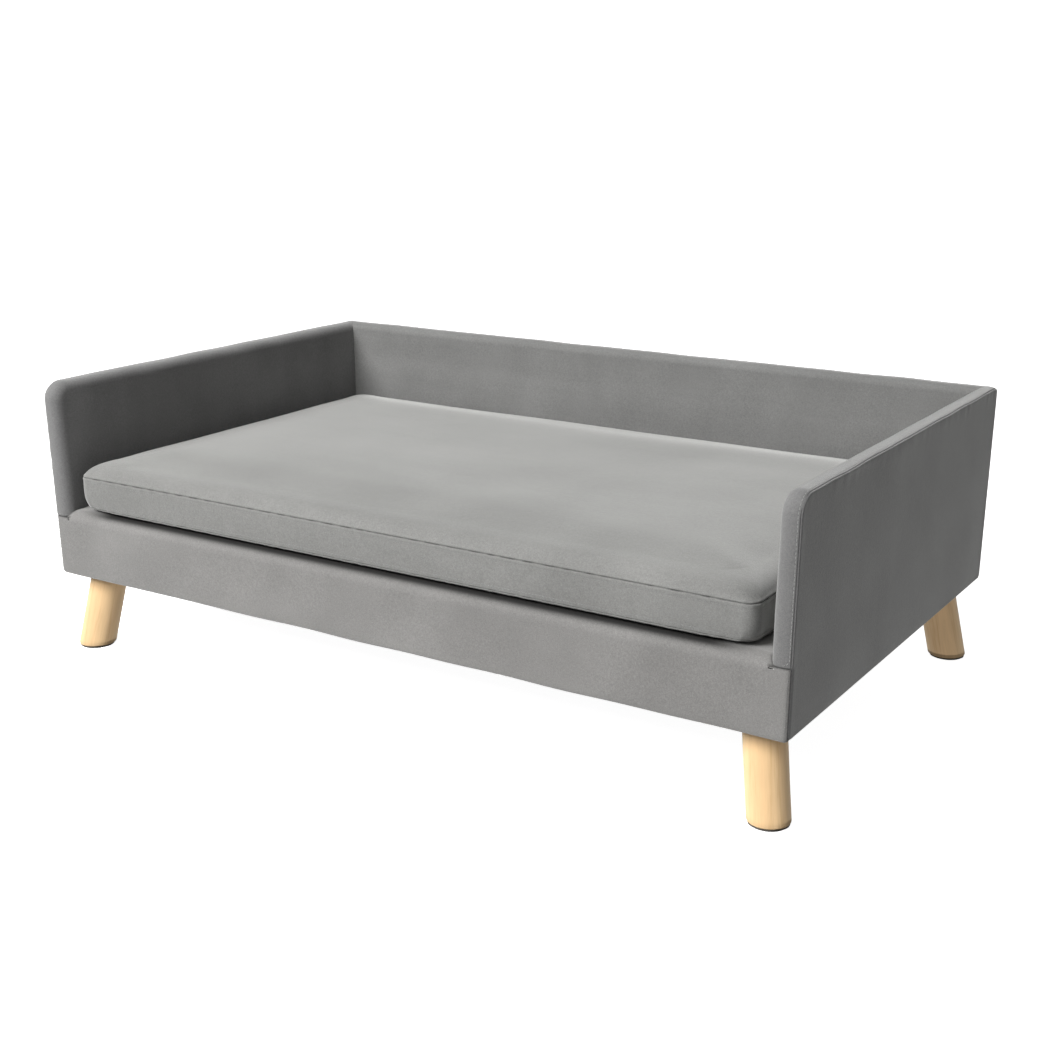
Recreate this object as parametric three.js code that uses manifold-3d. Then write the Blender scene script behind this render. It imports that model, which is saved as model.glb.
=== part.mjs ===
// Low sofa bed for a dog: a boarded frame in velvet, three low walls, a loose cushion, four splayed legs.
// Millimetres, +Z up. The origin is on the floor under the middle of the bed.
// The bed faces -Y, and +X is on the right of someone who stands in front of it.

import * as THREE from 'three';
import { mergeVertices } from 'three/addons/utils/BufferGeometryUtils.js';
import Module from 'manifold-3d';

const wasm = await Module();
wasm.setup();

// ---------------------------------------------------------------- overall sizes
const BED_WIDTH = 1000;
const BED_DEPTH = 600;
const LEG_CLEARANCE = 99; // floor to the underside of the base
const BASE_HEIGHT = 76; // underside to the seam under each arm
const DECK_RISE = 9; // how far the padded deck stands above that seam
const WALL_RISE = 169; // seam to the top of the arms and back

// ---------------------------------------------------------------- layers of a wall
const BOARD = 15; // plywood of the walls and the front rail
const WADDING = 2.4; // foam wrap over the boards
const VELVET = 1.5; // pile cloth with its backing
const GAP = 0.3; // between two pieces that touch
const LINING = VELVET + GAP + WADDING + GAP; // from the cloth's outer face to the board
const WALL = BOARD + 2 * LINING;

const ARM_CORNER_RADIUS = 24; // top front corner of each arm
const BACK_CORNER_RADIUS = 9; // top back corner of each arm
const DECK_EDGE_RADIUS = 15; // soft front edge of the deck

// ---------------------------------------------------------------- base
const DECK_BOARD = 9;
const BEARER_WIDTH = 22;
const BEARER_HEIGHT = 44;
const BEARER_COUNT = 3;
const BEARER_SPACING = 240;
const LEDGE = 18;
const DUST_CLOTH = 0.8;
const DUST_CLOTH_INSET = 8;

// ---------------------------------------------------------------- legs
const LEG_DIAMETER = 45;
const LEG_SPLAY = 14.4; // degrees from upright, outward along the diagonal
const FOOT_INSET = 25; // middle of the foot to the side and to the front or back of the bed
const FOOT_PAD = 2;
const FOOT_PAD_SETBACK = 1.5; // how much smaller in radius than the leg
const PLATE_SIZE = 60;
const PLATE_THICKNESS = 2.5;
const PLATE_SHIFT = 6; // the plate's middle lies this far inboard of the leg's
const PLATE_CLEARANCE = 0.5;
const PLATE_HOLE_PITCH = 44;
const PLATE_HOLE_RADIUS = 2.3;
const BOSS_DIAMETER = 32;
const LEG_TO_PLATE = 0.8; // the leg's highest edge to the plate
const BOLT_DIAMETER = 8;
const BOLT_IN_LEG = 38;
const BOLT_IN_BLOCK = 14;
const BLOCK_SIZE = 76;
const BLOCK_HEIGHT = 42;
const BLOCK_BORE_RADIUS = 6.5;

// ---------------------------------------------------------------- frame screws
const SCREW_LENGTH = 48;
const SCREW_RADIUS = 2.5;
const SCREW_HEAD_RADIUS = 4.6;
const SCREW_HEAD_DEPTH = 3.2;
const SCREW_TIP = 6;
const RAIL_SCREW_HEIGHTS = [19, 53]; // above the underside
const BACK_SCREW_HEIGHTS = [40, 200];

// ---------------------------------------------------------------- cushion
const CUSHION_SIDE_GAP = 17; // cushion to each arm
const CUSHION_FRONT_SETBACK = 6;
const CUSHION_BACK_GAP = 14;
const CUSHION_BORDER = 45; // bottom to the top seam
const CUSHION_CROWN = 21; // top seam to the highest part
const CUSHION_CROWN_ROLL = 26; // how far in from the seam the top levels out
const CUSHION_BOTTOM_ROLL = 9;
const CUSHION_CORNER_RADIUS = 14;

// ---------------------------------------------------------------- zip on the back border
const ZIP_LENGTH = 780;
const ZIP_WIDTH = 9;
const ZIP_HEIGHT = 24; // above the cushion's bottom
const SLIDER_LENGTH = 12;
const SLIDER_WIDTH = 8;
const SLIDER_THICKNESS = 2.5;
const SLIDER_END_MARGIN = 10; // zip's end to the middle of the closed slider
const POST_RADIUS = 1;
const POST_HEAD_RADIUS = 2;
const POST_HEAD = 0.6;
const PULL_LENGTH = 20;
const PULL_WIDTH = 6;
const PULL_THICKNESS = 1;
const PULL_PLAY = 0.5; // on each side of the pull, along the post
const PULL_HOLE_RADIUS = 1.4;

// ---------------------------------------------------------------- worked out
const HALF_WIDTH = BED_WIDTH / 2;
const HALF_DEPTH = BED_DEPTH / 2;
const UNDERSIDE = LEG_CLEARANCE;
const SEAM = UNDERSIDE + BASE_HEIGHT;
const DECK_TOP = SEAM + DECK_RISE;
const WALL_TOP = SEAM + WALL_RISE;
const ARM_INNER = HALF_WIDTH - WALL;
const BACK_INNER = HALF_DEPTH - WALL;
const BOARD_OUTER_X = HALF_WIDTH - LINING;
const BOARD_INNER_X = BOARD_OUTER_X - BOARD;
const BOARD_OUTER_Y = HALF_DEPTH - LINING;
const BOARD_INNER_Y = BOARD_OUTER_Y - BOARD;
const FRAME_BOTTOM = UNDERSIDE + DUST_CLOTH + GAP;
const RAIL_TOP = SEAM - LINING;
const DECK_BOARD_BOTTOM = RAIL_TOP - DECK_BOARD;
const FRAME_UNDER_DECK = DECK_BOARD_BOTTOM - GAP;
const BED_FOAM_TOP = DECK_TOP - VELVET - GAP;
const BELOW = UNDERSIDE - 50; // anywhere under the base, for cuts that pass right through
const ARC_STEPS = 7;
const BACKWARD = new THREE.Vector3(0, 1, 0);

const COLOURS = {
  velvet: 0x8f8f8b,
  wadding: 0xe9e6dc,
  foam: 0xe6d9a8,
  plywood: 0xcdb187,
  beech: 0xe1c39b,
  steel: 0xa9adb0,
  felt: 0x4b3a2c,
  lining: 0x2b2b2d,
  zip: 0x77777a,
};

// ---------------------------------------------------------------- helpers
function solid(geometry) {
  const bare = geometry.clone();
  bare.deleteAttribute('normal');
  bare.deleteAttribute('uv');
  const merged = mergeVertices(bare, 1e-4);
  const vertProperties = Float32Array.from(merged.attributes.position.array);
  const triVerts = Uint32Array.from(merged.index.array);
  return new wasm.Manifold(new wasm.Mesh({ numProp: 3, vertProperties, triVerts }));
}

function geometryOf(manifold) {
  const mesh = manifold.getMesh();
  const geometry = new THREE.BufferGeometry();
  const positions = Float32Array.from(mesh.vertProperties);
  geometry.setAttribute('position', new THREE.BufferAttribute(positions, 3));
  geometry.setIndex(new THREE.BufferAttribute(Uint32Array.from(mesh.triVerts), 1));
  const faceted = geometry.toNonIndexed();
  faceted.computeVertexNormals();
  return faceted;
}

function block(low, high) {
  const geometry = new THREE.BoxGeometry(high[0] - low[0], high[1] - low[1], high[2] - low[2]);
  geometry.translate((low[0] + high[0]) / 2, (low[1] + high[1]) / 2, (low[2] + high[2]) / 2);
  return solid(geometry);
}

function extruded(outline, depth) {
  return new THREE.ExtrudeGeometry(outline, { depth, bevelEnabled: false, curveSegments: ARC_STEPS });
}

// An outline drawn in Y and Z, with thickness along X.
function slabAlongX(outline, from, to) {
  const geometry = extruded(outline, to - from);
  geometry.applyMatrix4(new THREE.Matrix4().makeBasis(
    new THREE.Vector3(0, 1, 0),
    new THREE.Vector3(0, 0, 1),
    new THREE.Vector3(1, 0, 0),
  ));
  geometry.translate(from, 0, 0);
  return solid(geometry);
}

// An outline drawn in X and Z, with thickness along Y.
function slabAlongY(outline, from, to) {
  const geometry = extruded(outline, to - from);
  geometry.rotateX(Math.PI / 2);
  geometry.translate(0, to, 0);
  return solid(geometry);
}

// An outline drawn in X and Y, with thickness along Z.
function slabAlongZ(outline, from, to) {
  const geometry = extruded(outline, to - from);
  geometry.translate(0, 0, from);
  return solid(geometry);
}

// A body of revolution whose profile of [radius, distance] runs from start along direction.
function turned(profile, start, direction, segments) {
  const points = profile.map(([radius, distance]) => new THREE.Vector2(radius, distance));
  const geometry = new THREE.LatheGeometry(points, segments);
  const turn = new THREE.Quaternion().setFromUnitVectors(new THREE.Vector3(0, 1, 0), direction);
  geometry.applyQuaternion(turn);
  geometry.translate(start.x, start.y, start.z);
  return solid(geometry);
}

function rod(start, direction, from, to, radius, segments) {
  const profile = [[0, from], [radius, from], [radius, to], [0, to]];
  return turned(profile, start, direction, segments);
}

// ---------------------------------------------------------------- walls
// The side view of an arm, drawn in from the outer face of its cloth by inset.
function armOutline(inset, bottom) {
  const front = -HALF_DEPTH + inset;
  const back = HALF_DEPTH - inset;
  const top = WALL_TOP - inset;
  const frontRadius = ARM_CORNER_RADIUS - inset;
  const backRadius = BACK_CORNER_RADIUS - inset;
  const outline = new THREE.Shape();
  outline.moveTo(front, bottom);
  outline.lineTo(back, bottom);
  outline.lineTo(back, top - backRadius);
  outline.absarc(back - backRadius, top - backRadius, backRadius, 0, Math.PI / 2, false);
  outline.lineTo(front + frontRadius, top);
  outline.absarc(front + frontRadius, top - frontRadius, frontRadius, Math.PI / 2, Math.PI, false);
  outline.closePath();
  return outline;
}

function armSlab(side, inset, bottom) {
  const ends = [side * (HALF_WIDTH - inset), side * (ARM_INNER + inset)];
  return slabAlongX(armOutline(inset, bottom), Math.min(...ends), Math.max(...ends));
}

// A box beside one arm, given by its nearer and farther X on that side.
function sideBlock(side, near, far, yLow, yHigh, zLow, zHigh) {
  const low = [Math.min(side * near, side * far), yLow, zLow];
  const high = [Math.max(side * near, side * far), yHigh, zHigh];
  return block(low, high);
}

// A skin that wraps an arm's inner face, top, front and outer face, from depth inset to inset + thickness.
function armSkin(side, inset, thickness, bottom) {
  const near = ARM_INNER - 1;
  const inner = ARM_INNER + inset + thickness + GAP;
  const outer = HALF_WIDTH - inset - thickness;
  const front = -HALF_DEPTH - 1;
  const back = HALF_DEPTH - LINING;
  const deck = RAIL_TOP + GAP;
  const underSeam = sideBlock(side, near, outer, front, -HALF_DEPTH + inset + thickness + GAP, BELOW, SEAM);
  const aroundRail = sideBlock(side, near, outer, front, -BOARD_INNER_Y + GAP, BELOW, deck);
  const besideDeck = sideBlock(side, near, inner, front, back, BELOW, deck);
  const behindWall = sideBlock(side, near, inner, BACK_INNER - GAP, back, BELOW, WALL_TOP - LINING + GAP);
  return armSlab(side, inset, bottom)
    .subtract(armSlab(side, inset + thickness, BELOW))
    .subtract(underSeam)
    .subtract(aroundRail)
    .subtract(besideDeck)
    .subtract(behindWall);
}

function sideScrews(side) {
  const inward = new THREE.Vector3(-side, 0, 0);
  const middleOfBack = (BOARD_OUTER_Y + BOARD_INNER_Y) / 2;
  return BACK_SCREW_HEIGHTS.map((height) => ({
    start: new THREE.Vector3(side * BOARD_OUTER_X, middleOfBack, UNDERSIDE + height),
    direction: inward,
  }));
}

function railScrews(side) {
  const middleOfSide = side * (BOARD_OUTER_X + BOARD_INNER_X) / 2;
  return RAIL_SCREW_HEIGHTS.map((height) => ({
    start: new THREE.Vector3(middleOfSide, -BOARD_OUTER_Y, UNDERSIDE + height),
    direction: BACKWARD,
  }));
}

function screw(place, clearance) {
  const shank = SCREW_RADIUS + clearance;
  const head = SCREW_HEAD_RADIUS + clearance;
  const proud = clearance > 0 ? -1 : 0;
  const profile = [
    [0, proud],
    [head, proud],
    [head, 0.2],
    [shank, SCREW_HEAD_DEPTH + clearance],
    [shank, SCREW_LENGTH - SCREW_TIP],
    [0, SCREW_LENGTH + 2 * clearance],
  ];
  return turned(profile, place.start, place.direction, 12);
}

function withScrewHoles(board, places) {
  return places.reduce((cut, place) => cut.subtract(screw(place, GAP)), board);
}

function sideBoard(side) {
  const board = armSlab(side, LINING, FRAME_BOTTOM);
  const notch = sideBlock(side, BOARD_INNER_X - 1, BOARD_OUTER_X + 1,
    -HALF_DEPTH, -BOARD_INNER_Y + GAP, BELOW, RAIL_TOP + GAP);
  return withScrewHoles(board.subtract(notch), [...sideScrews(side), ...railScrews(side)]);
}

function backBoard() {
  const board = block(
    [-BOARD_INNER_X + GAP, BOARD_INNER_Y, FRAME_BOTTOM],
    [BOARD_INNER_X - GAP, BOARD_OUTER_Y, WALL_TOP - LINING],
  );
  return withScrewHoles(board, [...sideScrews(-1), ...sideScrews(1)]);
}

function frontRail() {
  const rail = block(
    [-BOARD_OUTER_X, -BOARD_OUTER_Y, FRAME_BOTTOM],
    [BOARD_OUTER_X, -BOARD_INNER_Y, RAIL_TOP],
  );
  return withScrewHoles(rail, [...railScrews(-1), ...railScrews(1)]);
}

// A skin that wraps the back wall's front face, top and back face between the arms.
function backSkin(inset, thickness, bottom) {
  const halfLength = ARM_INNER - GAP;
  const outside = block(
    [-halfLength, BACK_INNER + inset, bottom],
    [halfLength, HALF_DEPTH - inset, WALL_TOP - inset],
  );
  const inside = block(
    [-HALF_WIDTH, BACK_INNER + inset + thickness, BELOW],
    [HALF_WIDTH, HALF_DEPTH - inset - thickness, WALL_TOP - inset - thickness],
  );
  const behindDeck = block([-HALF_WIDTH, 0, BELOW], [HALF_WIDTH, BOARD_INNER_Y, RAIL_TOP + GAP]);
  return outside.subtract(inside).subtract(behindDeck);
}

// ---------------------------------------------------------------- base
function deckBoard() {
  return block(
    [-BOARD_INNER_X + GAP, -BOARD_INNER_Y + GAP, DECK_BOARD_BOTTOM],
    [BOARD_INNER_X - GAP, BOARD_INNER_Y - GAP, RAIL_TOP],
  );
}

function bearer(index) {
  const x = (index - (BEARER_COUNT - 1) / 2) * BEARER_SPACING;
  return block(
    [x - BEARER_WIDTH / 2, -BOARD_INNER_Y + GAP, FRAME_UNDER_DECK - BEARER_HEIGHT],
    [x + BEARER_WIDTH / 2, BOARD_INNER_Y - GAP, FRAME_UNDER_DECK],
  );
}

function ledge(side) {
  const outer = BOARD_INNER_X - GAP;
  return sideBlock(side, outer - LEDGE, outer, -BOARD_INNER_Y + GAP, BOARD_INNER_Y - GAP,
    FRAME_UNDER_DECK - LEDGE, FRAME_UNDER_DECK);
}

// The front edge of the deck seen from the side, from the front face round to the deck's back.
function deckProfile(front, bottom, top, radius) {
  const back = BACK_INNER - GAP;
  const profile = new THREE.Shape();
  profile.moveTo(front, bottom);
  profile.lineTo(back, bottom);
  profile.lineTo(back, top);
  profile.lineTo(front + radius, top);
  profile.absarc(front + radius, top - radius, radius, Math.PI / 2, Math.PI, false);
  profile.closePath();
  return profile;
}

function deckFoam() {
  const front = -HALF_DEPTH + VELVET + GAP;
  const halfLength = ARM_INNER - GAP;
  const profile = deckProfile(front, UNDERSIDE, BED_FOAM_TOP, DECK_EDGE_RADIUS - VELVET - GAP);
  return slabAlongX(profile, -halfLength, halfLength).intersect(above(RAIL_TOP + GAP));
}

// It ends where the cover starts to round over the deck's front edge.
function frontWadding() {
  return block(
    [-BOARD_OUTER_X, -HALF_DEPTH + VELVET + GAP, FRAME_BOTTOM],
    [BOARD_OUTER_X, -BOARD_OUTER_Y - GAP, DECK_TOP - DECK_EDGE_RADIUS],
  );
}

// One cloth: up the front of the base, over the soft edge and back over the deck.
function baseCover() {
  const front = -HALF_DEPTH;
  const halfLength = ARM_INNER - GAP;
  const profile = deckProfile(front, UNDERSIDE, DECK_TOP, DECK_EDGE_RADIUS);
  const outside = slabAlongX(profile, -halfLength, halfLength);
  const inside = slabAlongX(
    deckProfile(front + VELVET, BELOW, DECK_TOP - VELVET, DECK_EDGE_RADIUS - VELVET),
    -HALF_WIDTH,
    HALF_WIDTH,
  );
  const behind = block(
    [-HALF_WIDTH, BACK_INNER - 2 * GAP, BELOW],
    [HALF_WIDTH, HALF_DEPTH, DECK_TOP - VELVET],
  );
  const underArms = block(
    [-HALF_WIDTH + VELVET + GAP, front, UNDERSIDE],
    [HALF_WIDTH - VELVET - GAP, front + VELVET, SEAM - GAP],
  );
  const underDeckEdge = block(
    [-halfLength, front - 1, SEAM - DECK_EDGE_RADIUS + DECK_RISE],
    [halfLength, front + VELVET + 1, SEAM],
  );
  return outside.subtract(inside).subtract(behind).add(underArms.subtract(underDeckEdge));
}

function dustCloth() {
  const halfWidth = HALF_WIDTH - DUST_CLOTH_INSET;
  const halfDepth = HALF_DEPTH - DUST_CLOTH_INSET;
  const top = UNDERSIDE + DUST_CLOTH;
  const cloth = block([-halfWidth, -halfDepth, UNDERSIDE], [halfWidth, halfDepth, top]);
  return CORNERS.reduce((cut, corner) => {
    const [x, y] = plateMiddle(corner);
    const half = PLATE_SIZE / 2 + PLATE_CLEARANCE;
    return cut.subtract(block([x - half, y - half, BELOW], [x + half, y + half, SEAM]));
  }, cloth);
}

// ---------------------------------------------------------------- legs
const CORNERS = [
  { name: 'front_left', x: -1, y: -1 },
  { name: 'front_right', x: 1, y: -1 },
  { name: 'back_left', x: -1, y: 1 },
  { name: 'back_right', x: 1, y: 1 },
];
const SPLAY = THREE.MathUtils.degToRad(LEG_SPLAY);
const SPREAD = Math.tan(SPLAY) / Math.SQRT2; // sideways move along X, and along Y, for each unit of height
const LEG_RADIUS = LEG_DIAMETER / 2;
const PLATE_TOP = FRAME_BOTTOM - GAP;
const PLATE_BOTTOM = PLATE_TOP - PLATE_THICKNESS;
const LEG_DROP = (LEG_RADIUS * Math.sin(SPLAY) + LEG_TO_PLATE) / Math.cos(SPLAY);

function legDirection(corner) {
  return new THREE.Vector3(corner.x * SPREAD, corner.y * SPREAD, -1).normalize();
}

// Where the leg's axis meets the underside of its plate.
function legAnchor(corner) {
  const out = PLATE_BOTTOM * SPREAD;
  return new THREE.Vector3(
    corner.x * (HALF_WIDTH - FOOT_INSET - out),
    corner.y * (HALF_DEPTH - FOOT_INSET - out),
    PLATE_BOTTOM,
  );
}

function plateMiddle(corner) {
  const anchor = legAnchor(corner);
  return [anchor.x - corner.x * PLATE_SHIFT, anchor.y - corner.y * PLATE_SHIFT];
}

function alongLeg(corner, from, to, radius, segments) {
  return rod(legAnchor(corner), legDirection(corner), from, to, radius, segments);
}

function above(height) {
  return block([-BED_WIDTH, -BED_DEPTH, height], [BED_WIDTH, BED_DEPTH, WALL_TOP]);
}

function leg(corner) {
  const whole = alongLeg(corner, LEG_DROP, LEG_CLEARANCE + LEG_DIAMETER, LEG_RADIUS, 32);
  const bore = alongLeg(corner, 0, LEG_DROP + BOLT_IN_LEG + 2, BOLT_DIAMETER / 2 + GAP, 12);
  return whole.intersect(above(FOOT_PAD + GAP)).subtract(bore);
}

function footPad(corner) {
  const radius = LEG_RADIUS - FOOT_PAD_SETBACK;
  const whole = alongLeg(corner, LEG_DROP, LEG_CLEARANCE + LEG_DIAMETER, radius, 32);
  return whole.intersect(above(0)).subtract(above(FOOT_PAD));
}

function hangerBolt(corner) {
  return alongLeg(corner, -BOLT_IN_BLOCK, LEG_DROP + BOLT_IN_LEG, BOLT_DIAMETER / 2, 12);
}

// A flat plate with a boss under it, cut square to the leg.
function legPlate(corner) {
  const [x, y] = plateMiddle(corner);
  const half = PLATE_SIZE / 2;
  const flat = block([x - half, y - half, PLATE_BOTTOM], [x + half, y + half, PLATE_TOP]);
  const reach = PLATE_SIZE / 2;
  const boss = alongLeg(corner, -reach, LEG_DROP - GAP, BOSS_DIAMETER / 2, 20)
    .subtract(above(PLATE_BOTTOM + PLATE_THICKNESS / 2));
  const bore = alongLeg(corner, -reach, reach, BOLT_DIAMETER / 2 + GAP, 12);
  const down = new THREE.Vector3(0, 0, -1);
  const pitch = PLATE_HOLE_PITCH / 2;
  const holes = CORNERS.map((hole) => {
    const start = new THREE.Vector3(x + hole.x * pitch, y + hole.y * pitch, PLATE_TOP);
    return rod(start, down, -1, PLATE_THICKNESS + 1, PLATE_HOLE_RADIUS, 10);
  });
  return holes.reduce((cut, hole) => cut.subtract(hole), flat.add(boss).subtract(bore));
}

function legBlock(corner) {
  const outerX = BOARD_INNER_X - GAP;
  const outerY = BOARD_INNER_Y - GAP;
  const low = [
    Math.min(corner.x * outerX, corner.x * (outerX - BLOCK_SIZE)),
    Math.min(corner.y * outerY, corner.y * (outerY - BLOCK_SIZE)),
    FRAME_BOTTOM,
  ];
  const high = [low[0] + BLOCK_SIZE, low[1] + BLOCK_SIZE, FRAME_BOTTOM + BLOCK_HEIGHT];
  return block(low, high).subtract(alongLeg(corner, -BOLT_IN_BLOCK - 6, 0, BLOCK_BORE_RADIUS, 14));
}

// ---------------------------------------------------------------- cushion
const CUSHION_BOTTOM = DECK_TOP + GAP;
const CUSHION_HALF_WIDTH = ARM_INNER - CUSHION_SIDE_GAP;
const CUSHION_FRONT = -HALF_DEPTH + CUSHION_FRONT_SETBACK;
const CUSHION_BACK = BACK_INNER - CUSHION_BACK_GAP;
const CUSHION_MIDDLE = (CUSHION_FRONT + CUSHION_BACK) / 2;
const CUSHION_HALF_DEPTH = (CUSHION_BACK - CUSHION_FRONT) / 2;
const ZIP_Z = CUSHION_BOTTOM + ZIP_HEIGHT;

// A section through the cushion: upright border, rolled bottom edge and a crowned top.
function cushionSection(halfSpan, inset) {
  const half = halfSpan - inset;
  const bottom = CUSHION_BOTTOM + inset;
  const seam = CUSHION_BOTTOM + CUSHION_BORDER;
  const crown = CUSHION_CROWN - inset;
  const roll = CUSHION_CROWN_ROLL - inset;
  const under = CUSHION_BOTTOM_ROLL - inset;
  const section = new THREE.Shape();
  section.moveTo(-half + under, bottom);
  section.lineTo(half - under, bottom);
  section.absarc(half - under, bottom + under, under, -Math.PI / 2, 0, false);
  section.lineTo(half, seam);
  section.absellipse(half - roll, seam, roll, crown, 0, Math.PI / 2, false, 0);
  section.lineTo(-half + roll, seam + crown);
  section.absellipse(-half + roll, seam, roll, crown, Math.PI / 2, Math.PI, false, 0);
  section.lineTo(-half, bottom + under);
  section.absarc(-half + under, bottom + under, under, Math.PI, 1.5 * Math.PI, false);
  return section;
}

function roundedPlan(halfWidth, halfDepth, radius) {
  const plan = new THREE.Shape();
  plan.absarc(halfWidth - radius, halfDepth - radius, radius, 0, Math.PI / 2, false);
  plan.absarc(-halfWidth + radius, halfDepth - radius, radius, Math.PI / 2, Math.PI, false);
  plan.absarc(-halfWidth + radius, -halfDepth + radius, radius, Math.PI, 1.5 * Math.PI, false);
  plan.absarc(halfWidth - radius, -halfDepth + radius, radius, 1.5 * Math.PI, 2 * Math.PI, false);
  plan.closePath();
  return plan;
}

function cushionBody(inset) {
  const reach = BED_WIDTH;
  const acrossWidth = slabAlongY(cushionSection(CUSHION_HALF_WIDTH, inset), -reach, reach);
  const acrossDepth = slabAlongX(cushionSection(CUSHION_HALF_DEPTH, inset), -reach, reach)
    .translate([0, CUSHION_MIDDLE, 0]);
  const plan = roundedPlan(
    CUSHION_HALF_WIDTH - inset,
    CUSHION_HALF_DEPTH - inset,
    CUSHION_CORNER_RADIUS - inset,
  );
  const column = slabAlongZ(plan, 0, WALL_TOP).translate([0, CUSHION_MIDDLE, 0]);
  return acrossWidth.intersect(acrossDepth).intersect(column);
}

function zipStrip(play) {
  const halfLength = ZIP_LENGTH / 2 - play;
  const halfWidth = ZIP_WIDTH / 2 - play;
  return block(
    [-halfLength, CUSHION_BACK - VELVET, ZIP_Z - halfWidth],
    [halfLength, CUSHION_BACK, ZIP_Z + halfWidth],
  );
}

function cushionCover() {
  return cushionBody(0).subtract(cushionBody(VELVET)).subtract(zipStrip(0));
}

// ---------------------------------------------------------------- zip slider and pull
const SLIDER_X = ZIP_LENGTH / 2 - SLIDER_END_MARGIN;
const SLIDER_BACK = CUSHION_BACK + GAP + SLIDER_THICKNESS;
const POST_HEIGHT = 2 * PULL_PLAY + PULL_THICKNESS;

function zipSlider() {
  const plate = block(
    [SLIDER_X - SLIDER_LENGTH / 2, CUSHION_BACK + GAP, ZIP_Z - SLIDER_WIDTH / 2],
    [SLIDER_X + SLIDER_LENGTH / 2, SLIDER_BACK, ZIP_Z + SLIDER_WIDTH / 2],
  );
  const profile = [
    [0, -SLIDER_THICKNESS / 2],
    [POST_RADIUS, -SLIDER_THICKNESS / 2],
    [POST_RADIUS, POST_HEIGHT],
    [POST_HEAD_RADIUS, POST_HEIGHT],
    [POST_HEAD_RADIUS, POST_HEIGHT + POST_HEAD],
    [0, POST_HEIGHT + POST_HEAD],
  ];
  const foot = new THREE.Vector3(SLIDER_X, SLIDER_BACK, ZIP_Z);
  return plate.add(turned(profile, foot, BACKWARD, 12));
}

function zipPull() {
  const half = PULL_WIDTH / 2;
  const outline = new THREE.Shape();
  outline.absarc(SLIDER_X, ZIP_Z, half, 0, Math.PI, false);
  outline.lineTo(SLIDER_X - half, ZIP_Z - PULL_LENGTH + half);
  outline.absarc(SLIDER_X, ZIP_Z - PULL_LENGTH + half, half, Math.PI, 2 * Math.PI, false);
  outline.closePath();
  const front = SLIDER_BACK + PULL_PLAY;
  const tab = slabAlongY(outline, front, front + PULL_THICKNESS);
  const start = new THREE.Vector3(SLIDER_X, front, ZIP_Z);
  const hole = rod(start, BACKWARD, -1, PULL_THICKNESS + 1, PULL_HOLE_RADIUS, 12);
  return tab.subtract(hole);
}

// ---------------------------------------------------------------- the bed
const bed = new THREE.Group();
bed.name = 'dog_sofa_bed';

function place(name, manifold, colour, roughness, metalness = 0) {
  const material = new THREE.MeshStandardMaterial({ color: colour, roughness, metalness });
  const mesh = new THREE.Mesh(geometryOf(manifold), material);
  mesh.name = name;
  bed.add(mesh);
}

const SIDES = [
  { name: 'left', sign: -1 },
  { name: 'right', sign: 1 },
];

for (const { name, sign } of SIDES) {
  place(`side_board_${name}`, sideBoard(sign), COLOURS.plywood, 0.7);
  place(`side_wadding_${name}`, armSkin(sign, VELVET + GAP, WADDING, FRAME_BOTTOM), COLOURS.wadding, 0.95);
  place(`side_cover_${name}`, armSkin(sign, 0, VELVET, UNDERSIDE), COLOURS.velvet, 0.9);
  place(`deck_ledge_${name}`, ledge(sign), COLOURS.plywood, 0.7);
  railScrews(sign).forEach((spot, i) => {
    place(`rail_screw_${name}_${i + 1}`, screw(spot, 0), COLOURS.steel, 0.35, 1);
  });
  sideScrews(sign).forEach((spot, i) => {
    place(`back_screw_${name}_${i + 1}`, screw(spot, 0), COLOURS.steel, 0.35, 1);
  });
}

place('back_board', backBoard(), COLOURS.plywood, 0.7);
place('back_wadding', backSkin(VELVET + GAP, WADDING, FRAME_BOTTOM), COLOURS.wadding, 0.95);
place('back_cover', backSkin(0, VELVET, UNDERSIDE), COLOURS.velvet, 0.9);
place('front_rail', frontRail(), COLOURS.plywood, 0.7);
place('front_wadding', frontWadding(), COLOURS.wadding, 0.95);
place('deck_board', deckBoard(), COLOURS.plywood, 0.7);
place('deck_foam', deckFoam(), COLOURS.foam, 0.95);
place('base_cover', baseCover(), COLOURS.velvet, 0.9);
place('dust_cloth', dustCloth(), COLOURS.lining, 0.95);

for (let i = 0; i < BEARER_COUNT; i += 1) {
  place(`deck_bearer_${i + 1}`, bearer(i), COLOURS.plywood, 0.7);
}

for (const corner of CORNERS) {
  place(`leg_block_${corner.name}`, legBlock(corner), COLOURS.plywood, 0.7);
  place(`leg_plate_${corner.name}`, legPlate(corner), COLOURS.steel, 0.4, 1);
  place(`hanger_bolt_${corner.name}`, hangerBolt(corner), COLOURS.steel, 0.35, 1);
  place(`leg_${corner.name}`, leg(corner), COLOURS.beech, 0.5);
  place(`foot_pad_${corner.name}`, footPad(corner), COLOURS.felt, 0.95);
}

place('cushion_foam', cushionBody(VELVET + GAP), COLOURS.foam, 0.95);
place('cushion_cover', cushionCover(), COLOURS.velvet, 0.9);
place('zip_chain', zipStrip(GAP), COLOURS.zip, 0.6);
place('zip_slider', zipSlider(), COLOURS.steel, 0.35, 1);
place('zip_pull', zipPull(), COLOURS.steel, 0.35, 1);

export default bed;
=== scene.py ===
"""Low sofa bed for a dog, in short-pile velvet: every visible piece, its finish, and the studio."""

import logging
import math
from dataclasses import dataclass, field
from enum import Enum
from typing import Any, Sequence

import bpy
import numpy as np
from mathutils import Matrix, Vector
from mathutils.bvhtree import BVHTree


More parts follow.
